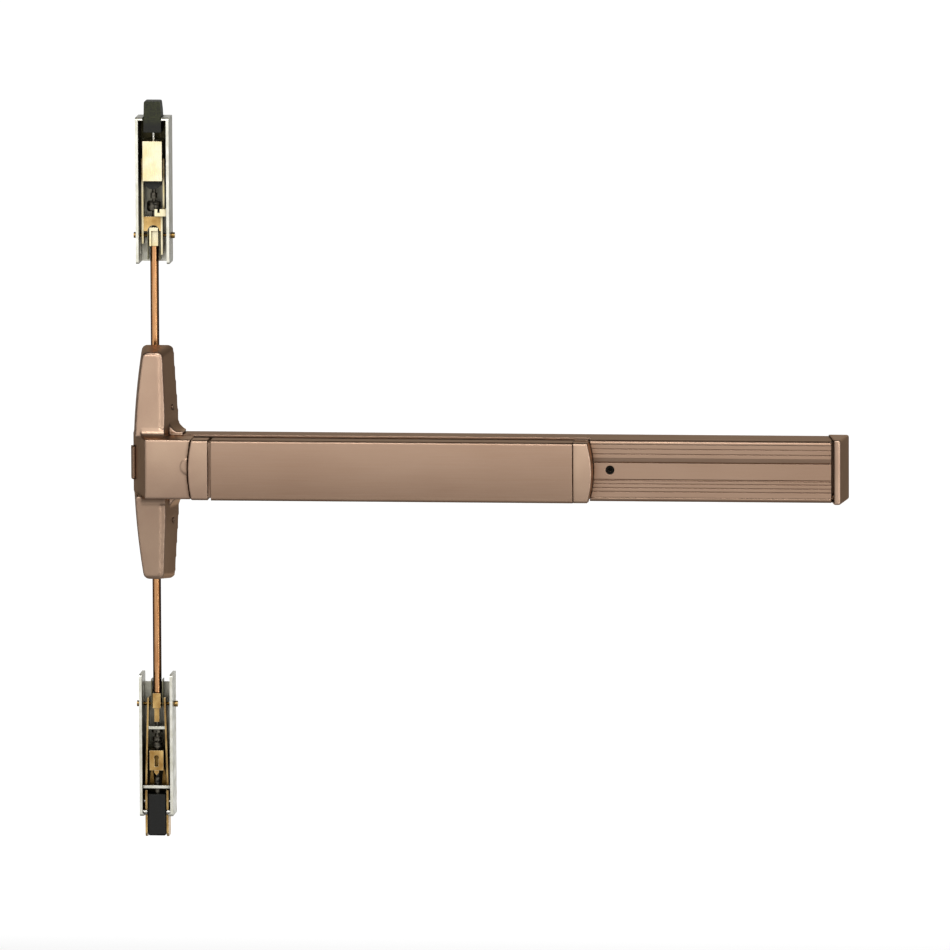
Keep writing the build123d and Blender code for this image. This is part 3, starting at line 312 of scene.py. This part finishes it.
def rod_piece(node, name, nuts, body, finish):
    """Hexagonal rod with both ends threaded, standing for its node.

    Its far end goes into its connector, and its near end through its nuts in the centre case.
    """
    low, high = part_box(node)
    nut_low, nut_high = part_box(nuts)
    axis = ((low[0] + high[0]) / 2, (low[1] + high[1]) / 2)
    past_nuts = 0.1 * MM
    if high[2] > 0:
        bottom, top = nut_high[2] + past_nuts, high[2] - finish.thread_length
    else:
        bottom, top = low[2] + finish.thread_length, nut_low[2] - past_nuts
    flats = finish.rod_flats
    chamfer = finish.rod_chamfer
    # Rings close to each chamfer keep its shading from running along the rod.
    steps = [(0, flats - 2 * chamfer), (1, flats), (1.5, flats), (3, flats)]
    hexagon = [rod_ring(axis, bottom + chamfer * i, width, finish.rod_crown) for i, width in steps]
    hexagon += [rod_ring(axis, top - chamfer * i, width, finish.rod_crown) for i, width in reversed(steps)]
    lower_end = thread_rings(axis, low[2], bottom, finish)
    upper_end = thread_rings(axis, top, high[2], finish)
    piece = ring_skin(name, lower_end + hexagon + upper_end)
    for polygon in piece.data.polygons:
        polygon.use_smooth = len(polygon.vertices) == 4
    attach(piece, body)
    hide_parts(node)
    return piece


def add_guide_bosses(material):
    """Two turned bosses that guide the bottom bolt's side plates in their channel."""
    pin_low, pin_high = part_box("bottom_bolt_pin")
    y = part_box("bottom_side_plates")[0][1] + MM
    below_pin = 9.2 * MM
    z = (pin_low[2] + pin_high[2]) / 2 - below_pin
    plate_face = 9.1 * MM
    channel_wall = 2.4 * MM
    clearance = 0.3 * MM
    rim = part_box("bottom_channel")[1][0] - channel_wall - clearance
    radius = 2.8 * MM
    foot_chamfer = 0.4 * MM
    rim_chamfer = 0.5 * MM
    profile = [
        (plate_face, 0.0),
        (plate_face, radius - foot_chamfer),
        (plate_face + foot_chamfer, radius),
        (rim - rim_chamfer, radius),
        (rim, radius - rim_chamfer),
        (rim, 0.0),
    ]
    for side, name in ((-1, "bottom_guide_boss_left"), (1, "bottom_guide_boss_right")):
        boss = turned_piece(name, profile, (0.0, y, z), side)
        cover(boss, material)
        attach(boss, "bottom_rod")


def add_link_spring(material):
    """Copy of the link's return spring, carried by the link. The real spring shortens against its bracket as the
    link moves right; this copy keeps its length.
    """
    spring = copy_of("link_spring", "link_coil_spring", "link")
    cover(spring, material)
    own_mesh(spring)


def anodised_extrusion(finish, name, soft_edge):
    """Anodised aluminium, drawn through a die and satin brushed along its length.

    Gives a soft sheen that stretches along the bar, with fine lengthwise lines and painted shade in its grooves
    and corners.
    """
    material, tree = start(name)
    lines = pattern(tree, finish.brush_spacing, (0.02, 1, 1), detail=3)
    cloud = pattern(tree, 70 * MM, (0.4, 1, 1))
    tone = tint(tree, cloud, (*CLOUD_RANGE, 0, 1), finish.anodised_deep, finish.anodised)
    tone = tint(tree, lines, (*NOISE_RANGE, 0, 0.16), tone, finish.anodised_pale)
    # Painted shade: grooves and corners are darkened towards bronze_dark.
    tone = tint(tree, cavity_mask(tree, 2 * MM), (0, 1, 0, 1), tone, finish.bronze_dark)
    surface(tree, {
        "Base Color": tone,
        "Metallic": 1.0,
        "Roughness": add(tree, RANGE, [lines, *NOISE_RANGE, 0.36, 0.46]),
        "Specular Tint": finish.bronze_rim,
        "Normal": relief(tree, lines, 0.25, 0.02 * MM, soft_edge),
    })
    return material


def lacquered_casting(finish, name, dense):
    """Zinc casting, bead blasted, bronze plated and lacquered.

    Gives an even satin with a very fine grain, painted highlights on its edges and painted shade in its hollows.
    A dense mesh has its edges read from its curvature, and a plain one from a bevel.
    """
    material, tree = start(name)
    grain = pattern(tree, finish.blast_grain, detail=3)
    cloud = pattern(tree, 45 * MM)
    tone = tint(tree, cloud, (*CLOUD_RANGE, 0, 1), finish.bronze_deep, finish.bronze)
    tone = tint(tree, grain, (*NOISE_RANGE, 0, 0.1), tone, finish.bronze_pale)
    # Painted shade: hollows are darkened towards bronze_dark.
    hollow = cavity_mask(tree, 5 * MM)
    if dense:
        # Painted highlight on convex curves, and painted shade in hollows and concave curves.
        curvature = add(tree, "ShaderNodeNewGeometry", out="Pointiness")
        tone = tint(tree, curvature, (0.52, 0.60, 0, 0.7), tone, finish.bronze_pale)
        tone = tint(tree, hollow, (0, 1, 0, 1), tone, finish.bronze_dark)
        tone = tint(tree, curvature, (0.48, 0.42, 0, 0.8), tone, finish.bronze_dark)
    else:
        # Painted highlight on edges, and painted shade in hollows and small corners.
        tone = tint(tree, edge_mask(tree, 0.8 * MM), (0, 1, 0, 0.35), tone, finish.bronze_pale)
        tone = tint(tree, hollow, (0, 1, 0, 1), tone, finish.bronze_dark)
        tone = tint(tree, cavity_mask(tree, 1.5 * MM), (0, 1, 0, 1), tone, finish.bronze_dark)
    surface(tree, {
        "Base Color": tone,
        "Metallic": 1.0,
        "Roughness": add(tree, RANGE, [grain, *NOISE_RANGE, 0.36, 0.42]),
        "Specular Tint": finish.bronze_rim,
        "Normal": relief(tree, grain, 0.2, 0.02 * MM, 0.0 if dense else 1.4 * MM),
    })
    return material


def plated_sheet(finish, name, base, second, edge):
    """Steel sheet, punched and folded, then zinc plated and passivated.

    Gives a pale mottled metal, with a painted highlight along its edges and painted shade deep inside, towards
    the bolts.
    """
    material, tree = start(name)
    mottle = pattern(tree, 9 * MM, detail=4, roughness=0.6)
    roll = pattern(tree, ROLLED_LINES, (1, 1, 0.08))
    tone = tint(tree, mottle, (*CLOUD_RANGE, 0, 1), base, second)
    # Painted highlight along the edges.
    tone = tint(tree, edge_mask(tree, 0.7 * MM), (0, 1, 0, 0.8), tone, edge)
    # Painted shade deep inside, towards the bolts: occlusion weighted by height from the middle, darkened towards
    # finish.inside.
    shade_starts, shade_full = 220 * MM, 280 * MM
    from_middle = add(tree, MATH, [coordinate(tree, "Z")], operation="ABSOLUTE")
    shade_weight = add(tree, RANGE, [from_middle, shade_starts, shade_full, 0.4, 1.0])
    inner_shade = add(tree, MATH, [cavity_mask(tree, 30 * MM), shade_weight], operation="MULTIPLY")
    tone = tint(tree, inner_shade, (0, 1, 0, 1), tone, finish.inside)
    surface(tree, {
        "Base Color": tone,
        "Metallic": 0.8,
        "Roughness": add(tree, RANGE, [mottle, *NOISE_RANGE, 0.3, 0.45]),
        "Normal": relief(tree, roll, 0.3, 0.02 * MM, 0.3 * MM),
    })
    return material


def machined_brass(finish, name, base, second):
    """Brass strip and bar, sheared and machined, left bare.

    Gives a warm yellow metal with fine tool marks, a painted highlight on its edges and painted shade in its
    hollows.
    """
    material, tree = start(name)
    marks = pattern(tree, MILLED_MARKS, (1, 1, 0.1))
    cloud = pattern(tree, 14 * MM)
    tone = tint(tree, cloud, (*CLOUD_RANGE, 0, 1), second, base)
    # Painted highlight on the edges, and painted shade in the hollows.
    tone = tint(tree, edge_mask(tree, 0.5 * MM), (0, 1, 0, 0.6), tone, finish.brass_pale)
    tone = tint(tree, cavity_mask(tree, 9 * MM), (0, 1, 0, 1), tone, finish.brass_dark)
    surface(tree, {
        "Base Color": tone,
        "Metallic": 1.0,
        "Roughness": add(tree, RANGE, [marks, *NOISE_RANGE, 0.2, 0.36]),
        "Normal": relief(tree, marks, 0.3, 0.03 * MM, 0.2 * MM),
    })
    return material


def drawn_rod(finish):
    """Steel rod, cold drawn to a hexagon and copper washed.

    Gives a bright lengthwise band of copper down the front, between dark brown sides that are painted shade.
    """
    material, tree = start("copper washed steel, drawn")
    lines = pattern(tree, DRAWN_LINES, (1, 1, 0.03))
    tone = tint(tree, lines, (*NOISE_RANGE, 0, 1), finish.copper_deep, finish.copper)
    # Painted shade: the rod's sides, away from its middle, are darkened towards copper_side_shade.
    off_middle = add(tree, MATH, [coordinate(tree, "X")], operation="ABSOLUTE")
    tone = tint(tree, off_middle, (1 * MM, 3 * MM, 0, 0.92), tone, finish.copper_side_shade)
    surface(tree, {
        "Base Color": tone,
        "Metallic": 1.0,
        "Roughness": add(tree, RANGE, [lines, *NOISE_RANGE, 0.16, 0.26]),
        "Normal": relief(tree, lines, 0.3, 0.02 * MM),
    })
    return material


def turned_steel(finish):
    """Bright steel, turned on a lathe.

    Gives small flecks of light and dark on pins, nuts and rivets.
    """
    material, tree = start("bright steel, turned")
    marks = pattern(tree, TURNED_MARKS)
    surface(tree, {
        "Base Color": tint(tree, marks, (*NOISE_RANGE, 0, 1), finish.steel_deep, finish.steel),
        "Metallic": 1.0,
        "Roughness": add(tree, RANGE, [marks, *NOISE_RANGE, 0.22, 0.36]),
        "Normal": relief(tree, marks, 0.2, 0.02 * MM, 0.2 * MM),
    })
    return material


def blackened_steel(finish, name, base):
    """Steel, hot blackened and oiled.

    Gives a near black metal with brown wear on its edges.
    """
    material, tree = start(name)
    cloud = pattern(tree, 3 * MM, detail=3)
    tone = tint(tree, cloud, (*CLOUD_RANGE, 0, 1), finish.black_deep, base)
    tone = tint(tree, edge_mask(tree, 0.4 * MM), (0, 1, 0, 0.5), tone, finish.black_worn)
    surface(tree, {
        "Base Color": tone,
        "Metallic": 0.9,
        "Roughness": add(tree, RANGE, [cloud, *NOISE_RANGE, 0.3, 0.45]),
        "Normal": relief(tree, cloud, 0.2, 0.02 * MM, 0.2 * MM),
    })
    return material


def moulded_nylon(finish, name, base, shadow_heights=None):
    """Nylon, moulded with a fine spark texture.

    Gives a dark matt body with slightly rubbed edges. shadow_heights holds the heights at which a painted shadow,
    where the bolt goes inside its channel, starts and is full. Below the second, the body is nearly black.
    """
    material, tree = start(name)
    grain = pattern(tree, SPARK_GRAIN, detail=3)
    tone = tint(tree, grain, (*NOISE_RANGE, 0, 1), finish.black_deep, base)
    tone = tint(tree, edge_mask(tree, 0.8 * MM), (0, 1, 0, 0.35), tone, finish.nylon_worn)
    # Painted shadow: below these heights the bolt is darkened to near black, where it goes inside its channel.
    if shadow_heights:
        tone = tint(tree, coordinate(tree, "Z"), (*shadow_heights, 0, 0.85), tone, finish.black_deep)
    surface(tree, {
        "Base Color": tone,
        "Roughness": add(tree, RANGE, [grain, *NOISE_RANGE, 0.42, 0.55]),
        "Specular IOR Level": 0.3,
        "Normal": relief(tree, grain, 0.35, 0.04 * MM, 0.5 * MM),
    })
    return material


def moulded_rubber(finish):
    """Neoprene rubber, moulded.

    Gives a dull black with faint dust.
    """
    material, tree = start("black neoprene, moulded")
    dust = pattern(tree, 2 * MM, detail=4)
    surface(tree, {
        "Base Color": tint(tree, dust, (0.45, 0.7, 0, 0.3), finish.black_deep, finish.nylon_worn),
        "Roughness": 0.75,
        "Normal": relief(tree, dust, 0.3, 0.05 * MM, 0.3 * MM),
    })
    return material


def colour_property(name, hex_colour, description):
    """Colour to choose, with its default given as sRGB hex."""
    return bpy.props.FloatVectorProperty(
        name=name, description=description, subtype="COLOR", size=3, min=0, max=1, default=linear(hex_colour)
    )


def size_property(name, millimetres, description):
    """Length to choose, with its default given in millimetres."""
    return bpy.props.FloatProperty(
        name=name, description=description, subtype="DISTANCE", min=0, precision=5, default=millimetres * MM
    )


class FinishSettings(bpy.types.PropertyGroup):
    """Colours and sizes of the finishes."""

    bronze: colour_property("Bronze lacquer", "b69a83", "Open faces of the castings")
    bronze_deep: colour_property("Bronze lacquer, deep", "aa8d78", "Deeper patches of the castings")
    # Also used for painted highlights on the castings' edges.
    bronze_pale: colour_property("Bronze lacquer, pale", "d2bbaa", "Grain of the castings, and painted highlights on their edges")
    # Used for painted shade in grooves, hollows and corners of the castings and extrusions.
    bronze_dark: colour_property("Bronze, dark", "3c2414", "Grooves and corners of the bronze finish")
    bronze_rim: colour_property("Bronze, at a glance", "e2cdb8", "Bronze where it is seen at a low angle")
    anodised: colour_property("Bronze anodising", "a38772", "Open faces of the extrusions")
    anodised_deep: colour_property("Bronze anodising, deep", "997c67", "Deeper patches of the extrusions")
    anodised_pale: colour_property("Bronze anodising, pale", "baa291", "Fine lines of the extrusions")
    zinc: colour_property("Zinc", "f4f2e6", "Flanges of the latch channels")
    zinc_deep: colour_property("Zinc, deep", "e0ddca", "Patches on the latch channels")
    # Used for painted highlights along the edges of the channels.
    zinc_pale: colour_property("Zinc, pale", "faf9ee", "Edges of the latch channels")
    # Used for painted shade deep inside the sheet-metal parts.
    inside: colour_property("Inside", "2c2812", "Hollows and corners of plated sheet")
    passivated: colour_property("Passivated zinc", "9c997c", "Inner brackets")
    passivated_deep: colour_property("Passivated zinc, deep", "6f6a4c", "Patches on inner brackets")
    brass: colour_property("Brass", "f6ecca", "Faces of brass parts")
    brass_deep: colour_property("Brass, deep", "efdeaa", "Patches on brass parts")
    aged_brass: colour_property("Tarnished brass", "dcb877", "Faces of tarnished brass parts")
    aged_brass_deep: colour_property("Tarnished brass, deep", "a57e45", "Patches on tarnished brass parts")
    # Used for painted highlights on brass edges.
    brass_pale: colour_property("Brass, pale", "fff4cf", "Edges of brass parts")
    # Used for painted shade in brass hollows.
    brass_dark: colour_property("Brass, dark", "4d3712", "Hollows of brass parts")
    copper: colour_property("Copper wash", "d9aa7a", "Faces of the rods")
    copper_deep: colour_property("Copper wash, deep", "a86c3e", "Lines on the rods")
    # Painted shade on the rods' sides.
    copper_side_shade: colour_property("Copper wash, painted side shade", "3a1c0a", "Sides of the rods")
    steel: colour_property("Turned steel", "c9c7c0", "Pins, nuts and rivets")
    steel_deep: colour_property("Turned steel, deep", "8f8c84", "Flecks on pins, nuts and rivets")
    black_steel: colour_property("Black steel", "6a655a", "Adjusting studs and springs")
    # Also used for the painted shadow on the top bolt and the painted shade on the dogging screw.
    black_deep: colour_property("Black", "151411", "Deepest black")
    black_worn: colour_property("Black steel, worn", "6a5c48", "Edges of blackened parts")
    nylon: colour_property("Nylon", "1f1f1d", "Bottom latch bolt")
    olive_nylon: colour_property("Olive nylon", "3d4024", "Top latch bolt")
    nylon_worn: colour_property("Nylon, worn", "4c4a40", "Rubbed edges of the latch bolts")
    brush_spacing: size_property(
        "Brush line spacing", 0.9, "Real lines are about 0.1 mm apart, too fine to show, so these are coarser"
    )
    blast_grain: size_property(
        "Blast grain", 0.8, "Real grain is about 0.1 mm, too fine to show, so this is coarser"
    )
    casting_grain: size_property("Casting grain", 0.9, "How finely the large castings are remeshed")
    rod_flats: size_property("Rod across flats", 7.9, "Width of the hexagonal rods")
    rod_chamfer: size_property("Rod chamfer", 0.5, "Bevel where a rod's hexagon ends")
    rod_crown: bpy.props.FloatProperty(
        name="Rod crown", description="How round the rods' flats are", subtype="FACTOR", min=0, max=1, default=0.9
    )
    thread_radius: size_property("Thread radius", 3.0, "Outer radius of the rods' threaded ends")
    thread_pitch: size_property("Thread pitch", 1.27, "Distance between turns of the rods' threads")
    thread_depth: size_property("Thread depth", 0.35, "Depth of the rods' threads")
    thread_length: size_property("Thread length", 6.0, "How much of each rod is threaded at its connector")
    top_notch: size_property("Top notch", 9.0, "Half the width of the notch for the top bolt")
    bottom_notch: size_property("Bottom notch", 12.0, "Half the width of the notch for the bottom bolt")
    link_travel: size_property("Link travel", 9.5, "How far the link bar shortens its spring")


class StageSettings(bpy.types.PropertyGroup):
    """Camera, floor and light."""

    azimuth: bpy.props.FloatProperty(
        name="Azimuth", description="Camera angle right of square on", subtype="ANGLE", default=radians(5.5)
    )
    elevation: bpy.props.FloatProperty(
        name="Elevation", description="Camera angle above level", subtype="ANGLE", default=radians(7.3)
    )
    roll: bpy.props.FloatProperty(
        name="Roll", description="Turn of the camera about its own axis", subtype="ANGLE", default=radians(-0.25)
    )
    lens: bpy.props.FloatProperty(
        name="Focal length",
        description="Long, so that level lines stay level",
        subtype="DISTANCE_CAMERA",
        default=600.0,
    )
    view_width: bpy.props.FloatProperty(
        name="View width", description="Width that the camera sees at the target", unit="LENGTH", default=0.9025
    )
    target: bpy.props.FloatVectorProperty(
        name="Target",
        description="Point at the middle of the view",
        unit="LENGTH",
        size=3,
        default=(0.3076, 0.0, -0.0107),
    )
    floor_drop: bpy.props.FloatProperty(
        name="Floor drop", description="Height of the origin above the floor", unit="LENGTH", default=0.75
    )


class FINISH_OT_extrusions(bpy.types.Operator):
    """Finish the rail, its cover and the push bar"""

    bl_idname = "exit_device.finish_extrusions"
    bl_label = "Finish extrusions"

    def execute(self, context):
        finish = context.scene.device_finish
        brushed = anodised_extrusion(finish, "bronze anodised aluminium, brushed", 1.5 * MM)
        ribbed = anodised_extrusion(finish, "bronze anodised aluminium, drawn", 0.4 * MM)
        dress(["rail", "push_bar"], brushed)
        dress(["rail_cover"], ribbed)
        return {"FINISHED"}


class FINISH_OT_castings(bpy.types.Operator):
    """Finish the centre case, its plug and screws, the end cap and the bar's end pieces"""

    bl_idname = "exit_device.finish_castings"
    bl_label = "Finish castings"

    def execute(self, context):
        finish = context.scene.device_finish
        blasted = lacquered_casting(finish, "bronze lacquered zinc, cast and blasted", dense=True)
        for node, name in (("center_case", "center_case_casting"), ("end_cap", "end_cap_casting")):
            cover(softened(node, name, finish.casting_grain, rounds=3), blasted)
        plain = lacquered_casting(finish, "bronze lacquered zinc, cast", dense=False)
        names = ["center_case", "side_plug", "end_cap", "push_bar_end_left", "push_bar_end_right", "case_screws"]
        dress(names, plain)
        return {"FINISHED"}


class FINISH_OT_sheet_metal(bpy.types.Operator):
    """Finish the latch channels and the brackets and levers inside"""

    bl_idname = "exit_device.finish_sheet_metal"
    bl_label = "Finish sheet metal"

    def execute(self, context):
        finish = context.scene.device_finish
        tones = (finish.zinc, finish.zinc_deep, finish.zinc_pale)
        folded = plated_sheet(finish, "zinc plated steel, folded", *tones)
        for node, name, notch_half, end in (
            ("top_channel", "top_folded_channel", finish.top_notch, 1),
            ("bottom_channel", "bottom_folded_channel", finish.bottom_notch, -1),
        ):
            cover(notched_channel(node, name, notch_half, end), folded)
        dress(["top_channel", "bottom_channel", "bottom_lower_bar", "bottom_upper_plate"], folded)
        tones = (finish.passivated, finish.passivated_deep, finish.passivated)
        inner = plated_sheet(finish, "passivated zinc on steel, punched", *tones)
        names = [
            "center_chassis", "end_bracket", "crank_stands", "spring_bracket", "dogging_bracket", "link_bar",
            "actuator_slide", "bell_crank_left", "bell_crank_right", "upper_lifter", "lower_lifter",
            "upper_finger", "lower_finger", "push_bar_forks", "top_rod_clip", "bottom_rod_clip",
        ]
        dress(names, inner)
        return {"FINISHED"}


class FINISH_OT_brass(bpy.types.Operator):
    """Finish the brass blocks, straps, connectors and plates of both latches"""

    bl_idname = "exit_device.finish_brass"
    bl_label = "Finish brass"

    def execute(self, context):
        finish = context.scene.device_finish
        fresh = machined_brass(finish, "bare brass, freshly milled", finish.brass, finish.brass_deep)
        dress(["top_block", "top_yokes", "top_connector", "top_catch"], fresh)
        aged = machined_brass(finish, "bare brass, tarnished", finish.aged_brass, finish.aged_brass_deep)
        names = [
            "top_plate", "top_cross_pin", "bottom_side_plates", "bottom_yokes", "bottom_connector",
            "bottom_block", "bottom_pointer", "bottom_carrier", "bottom_cross_pin",
        ]
        dress(names, aged)
        return {"FINISHED"}


class FINISH_OT_rods(bpy.types.Operator):
    """Finish both rods"""

    bl_idname = "exit_device.finish_rods"
    bl_label = "Finish rods"

    def execute(self, context):
        finish = context.scene.device_finish
        copper = drawn_rod(finish)
        for node, name, nuts, body in (
            ("upper_rod", "upper_drawn_rod", "upper_rod_nuts", "top_rod"),
            ("lower_rod", "lower_drawn_rod", "lower_rod_nuts", "bottom_rod"),
        ):
            cover(rod_piece(node, name, nuts, body, finish), copper)
        dress(["upper_rod", "lower_rod"], copper)
        return {"FINISHED"}


class FINISH_OT_fasteners(bpy.types.Operator):
    """Finish pins, nuts, studs and springs"""

    bl_idname = "exit_device.finish_fasteners"
    bl_label = "Finish fasteners"

    def execute(self, context):
        finish = context.scene.device_finish
        names = [
            "crank_pivots", "lifter_pivots", "actuator_rivet", "spring_rod", "upper_rod_nuts", "lower_rod_nuts",
            "dogging_hook", "top_stem", "bottom_bolt_pin",
        ]
        bright = turned_steel(finish)
        dress(names, bright)
        oiled = blackened_steel(finish, "black oxide steel, oiled", finish.black_steel)
        dress(["link_spring", "top_adjuster", "bottom_adjuster"], oiled)
        # The dogging screw is black oxide steel darkened further to near black, as painted shade of its hole.
        dress(["dogging_screw"], blackened_steel(finish, "black oxide steel, darkened_for_hole_shade", finish.black_deep))
        add_link_spring(oiled)
        add_guide_bosses(bright)
        return {"FINISHED"}


class FINISH_OT_bolts(bpy.types.Operator):
    """Finish the latch bolts and the buffer"""

    bl_idname = "exit_device.finish_bolts"
    bl_label = "Finish bolts"

    def execute(self, context):
        finish = context.scene.device_finish
        # Painted shadow on the top bolt, where it goes inside its channel.
        shadow_heights = (326 * MM, 320 * MM)
        nylon_with_painted_shadow = moulded_nylon(finish, "olive nylon, moulded", finish.olive_nylon, shadow_heights)
        dress(["top_bolt"], nylon_with_painted_shadow)
        dress(["bottom_bolt"], moulded_nylon(finish, "black nylon, moulded", finish.nylon))
        dress(["top_buffer"], moulded_rubber(finish))
        return {"FINISHED"}


class STAGE_OT_build(bpy.types.Operator):
    """Build the floor, the light and the camera"""

    bl_idname = "exit_device.build_stage"
    bl_label = "Build stage"

    def execute(self, context):
        stage = context.scene.device_stage
        build_floor(stage)
        build_light()
        build_camera(stage)
        context.scene.view_settings.view_transform = "Standard"
        return {"FINISHED"}


def build_floor(stage):
    """Studio floor: a white lane behind the device, grey beside it, and grey to white further in front."""
    mesh = bpy.data.meshes.new("studio_floor")
    half = 40.0
    corners = [(-half, -half), (half, -half), (half, half), (-half, half)]
    mesh.from_pydata([(x, y, -stage.floor_drop) for x, y in corners], [], [(0, 1, 2, 3)])
    ground = bpy.data.objects.new("studio_floor", mesh)
    bpy.context.scene.collection.objects.link(ground)
    mesh.materials.append(floor_paint(stage))


def floor_paint(stage):
    """White paint, rolled on.

    Gives the camera a white floor, and metal a pale one far off and a dark one close by.
    """
    material, tree = start("white painted floor, rolled")

    y = coordinate(tree, "Y")
    drift = add(tree, MATH, [y, sin(stage.azimuth)], operation="MULTIPLY")
    across = add(tree, MATH, [coordinate(tree, "X"), drift], operation="ADD")
    off_lane = add(tree, MATH, [across, stage.target[0]], operation="SUBTRACT")
    off_lane = add(tree, MATH, [off_lane], operation="ABSOLUTE")
    inside_lane = add(tree, RANGE, [off_lane, 1.4, 1.0, 0.0, 1.0])
    behind = add(tree, RANGE, [y, 0.6, 2.0, 0.0, 1.0])
    lane = add(tree, MATH, [inside_lane, behind], operation="MULTIPLY")
    where = add(tree, "ShaderNodeTexCoord", out="Object")
    distance = add(tree, "ShaderNodeVectorMath", [where], out="Value", operation="LENGTH")
    pale = add(tree, RANGE, [distance, 0.8, 3.5, 0.6, 1.0])
    near = add(tree, RANGE, [distance, 0.9, 3.2, 0.08, 0.6])
    far = add(tree, RANGE, [distance, 3.2, 6.5, 0.0, 0.8])
    grey = add(tree, MATH, [near, far], operation="ADD")
    ahead = add(tree, RANGE, [y, 0.5, -1.5, 0.2, 1.0])
    grey = add(tree, MATH, [ahead, grey], operation="MULTIPLY")
    glossy = add(tree, "ShaderNodeLightPath", out="Is Glossy Ray")
    through = add(tree, "ShaderNodeLightPath", out="Is Transmission Ray")
    mirrored = add(tree, MATH, [glossy, through], operation="MAXIMUM")
    reflected = add(tree, MATH, [lane, grey], operation="MAXIMUM")
    reflected = add(tree, MATH, [reflected, mirrored], operation="MULTIPLY")
    seen = add(tree, "ShaderNodeLightPath", out="Is Camera Ray")
    direct = add(tree, MATH, [lane, pale], operation="MAXIMUM")
    direct = add(tree, MATH, [direct, seen], operation="MULTIPLY")
    strength = add(tree, MATH, [direct, reflected], operation="MAXIMUM")
    paint = add(tree, "ShaderNodeBsdfDiffuse", {"Color": (0.5, 0.5, 0.5)})
    glow = add(tree, "ShaderNodeEmission", {"Strength": strength})
    add(tree, "ShaderNodeOutputMaterial", [add(tree, "ShaderNodeAddShader", [paint, glow])])
    return material


def build_light():
    """Studio light: bright from the front, dim from the sides, pale behind, with three soft panels."""
    world = bpy.data.worlds.new("studio")
    bpy.context.scene.world = world
    world.use_nodes = True
    tree = world.node_tree
    tree.nodes.clear()
    x, y, z = (coordinate(tree, axis, "Generated") for axis in "XYZ")
    front = add(tree, RANGE, [y, -0.5, -0.9, 0.2, 1.5])
    sideways = add(tree, MATH, [x], operation="ABSOLUTE")
    narrow = add(tree, RANGE, [sideways, 0.3, 0.62, 1.0, 0.25])
    height = add(tree, RANGE, [z, 0.02, 0.9, 1.0, 0.3])
    ahead = add(tree, MATH, [front, narrow], operation="MULTIPLY")
    ahead = add(tree, MATH, [ahead, height], operation="MULTIPLY")
    backdrop = add(tree, RANGE, [y, 0.75, 0.98, 0.0, 1.0])
    strength = add(tree, MATH, [ahead, backdrop], operation="MAXIMUM")
    add(tree, "ShaderNodeOutputWorld", [add(tree, "ShaderNodeBackground", {"Strength": strength})])
    for name, size, watts, place_at in LAMPS:
        add_panel(name, size, watts, place_at)


def add_panel(name, size, watts, place_at):
    """Soft panel lamp, turned to the middle of the device."""
    light = bpy.data.lights.new(name, "AREA")
    light.shape = "RECTANGLE"
    light.size, light.size_y = size
    light.energy = watts
    panel = bpy.data.objects.new(name, light)
    bpy.context.scene.collection.objects.link(panel)
    aim(panel, Vector(place_at), DEVICE_MIDDLE)
    panel.visible_camera = False


def aim(thing, place_at, target):
    """Stands a lamp or a camera at a place and turns its front to a target."""
    turn = (target - place_at).to_track_quat("-Z", "Y")
    thing.matrix_world = Matrix.Translation(place_at) @ turn.to_matrix().to_4x4()


def build_camera(stage):
    """Camera that sees the chosen width at its target."""
    data = bpy.data.cameras.new("camera")
    data.lens = stage.lens
    data.sensor_width = 36
    data.clip_end = 200
    distance = stage.view_width * data.lens / data.sensor_width
    camera = bpy.data.objects.new("camera", data)
    bpy.context.scene.collection.objects.link(camera)
    bpy.context.scene.camera = camera
    target = Vector(stage.target)
    level = cos(stage.elevation)
    back = Vector((sin(stage.azimuth) * level, -cos(stage.azimuth) * level, sin(stage.elevation)))
    place_at = target + back * distance
    aim(camera, place_at, target)
    camera.matrix_world = camera.matrix_world @ Matrix.Rotation(stage.roll, 4, "Z")


class VIEW3D_PT_exit_device(bpy.types.Panel):
    """Lists the finishes and the stage"""

    bl_label = "Exit Device"
    bl_idname = "VIEW3D_PT_exit_device"
    bl_space_type = "VIEW_3D"
    bl_region_type = "UI"
    bl_category = "Exit Device"

    def draw(self, context):
        for step in STEPS:
            self.layout.operator(step.bl_idname)
        for group in (context.scene.device_finish, context.scene.device_stage):
            box = self.layout.box()
            for name in group.__annotations__:
                box.prop(group, name)


STEPS = (
    FINISH_OT_extrusions,
    FINISH_OT_castings,
    FINISH_OT_sheet_metal,
    FINISH_OT_brass,
    FINISH_OT_rods,
    FINISH_OT_fasteners,
    FINISH_OT_bolts,
    STAGE_OT_build,
)
CLASSES = (FinishSettings, StageSettings, *STEPS, VIEW3D_PT_exit_device)


def register():
    for item in CLASSES:
        bpy.utils.register_class(item)
    bpy.types.Scene.device_finish = bpy.props.PointerProperty(type=FinishSettings)
    bpy.types.Scene.device_stage = bpy.props.PointerProperty(type=StageSettings)


def unregister():
    del bpy.types.Scene.device_stage
    del bpy.types.Scene.device_finish
    for item in reversed(CLASSES):
        bpy.utils.unregister_class(item)


def main():
    """Builds the whole scene."""
    register()
    for step in STEPS:
        group, name = step.bl_idname.split(".")
        getattr(getattr(bpy.ops, group), name)()


if __name__ == "__main__":
    main()
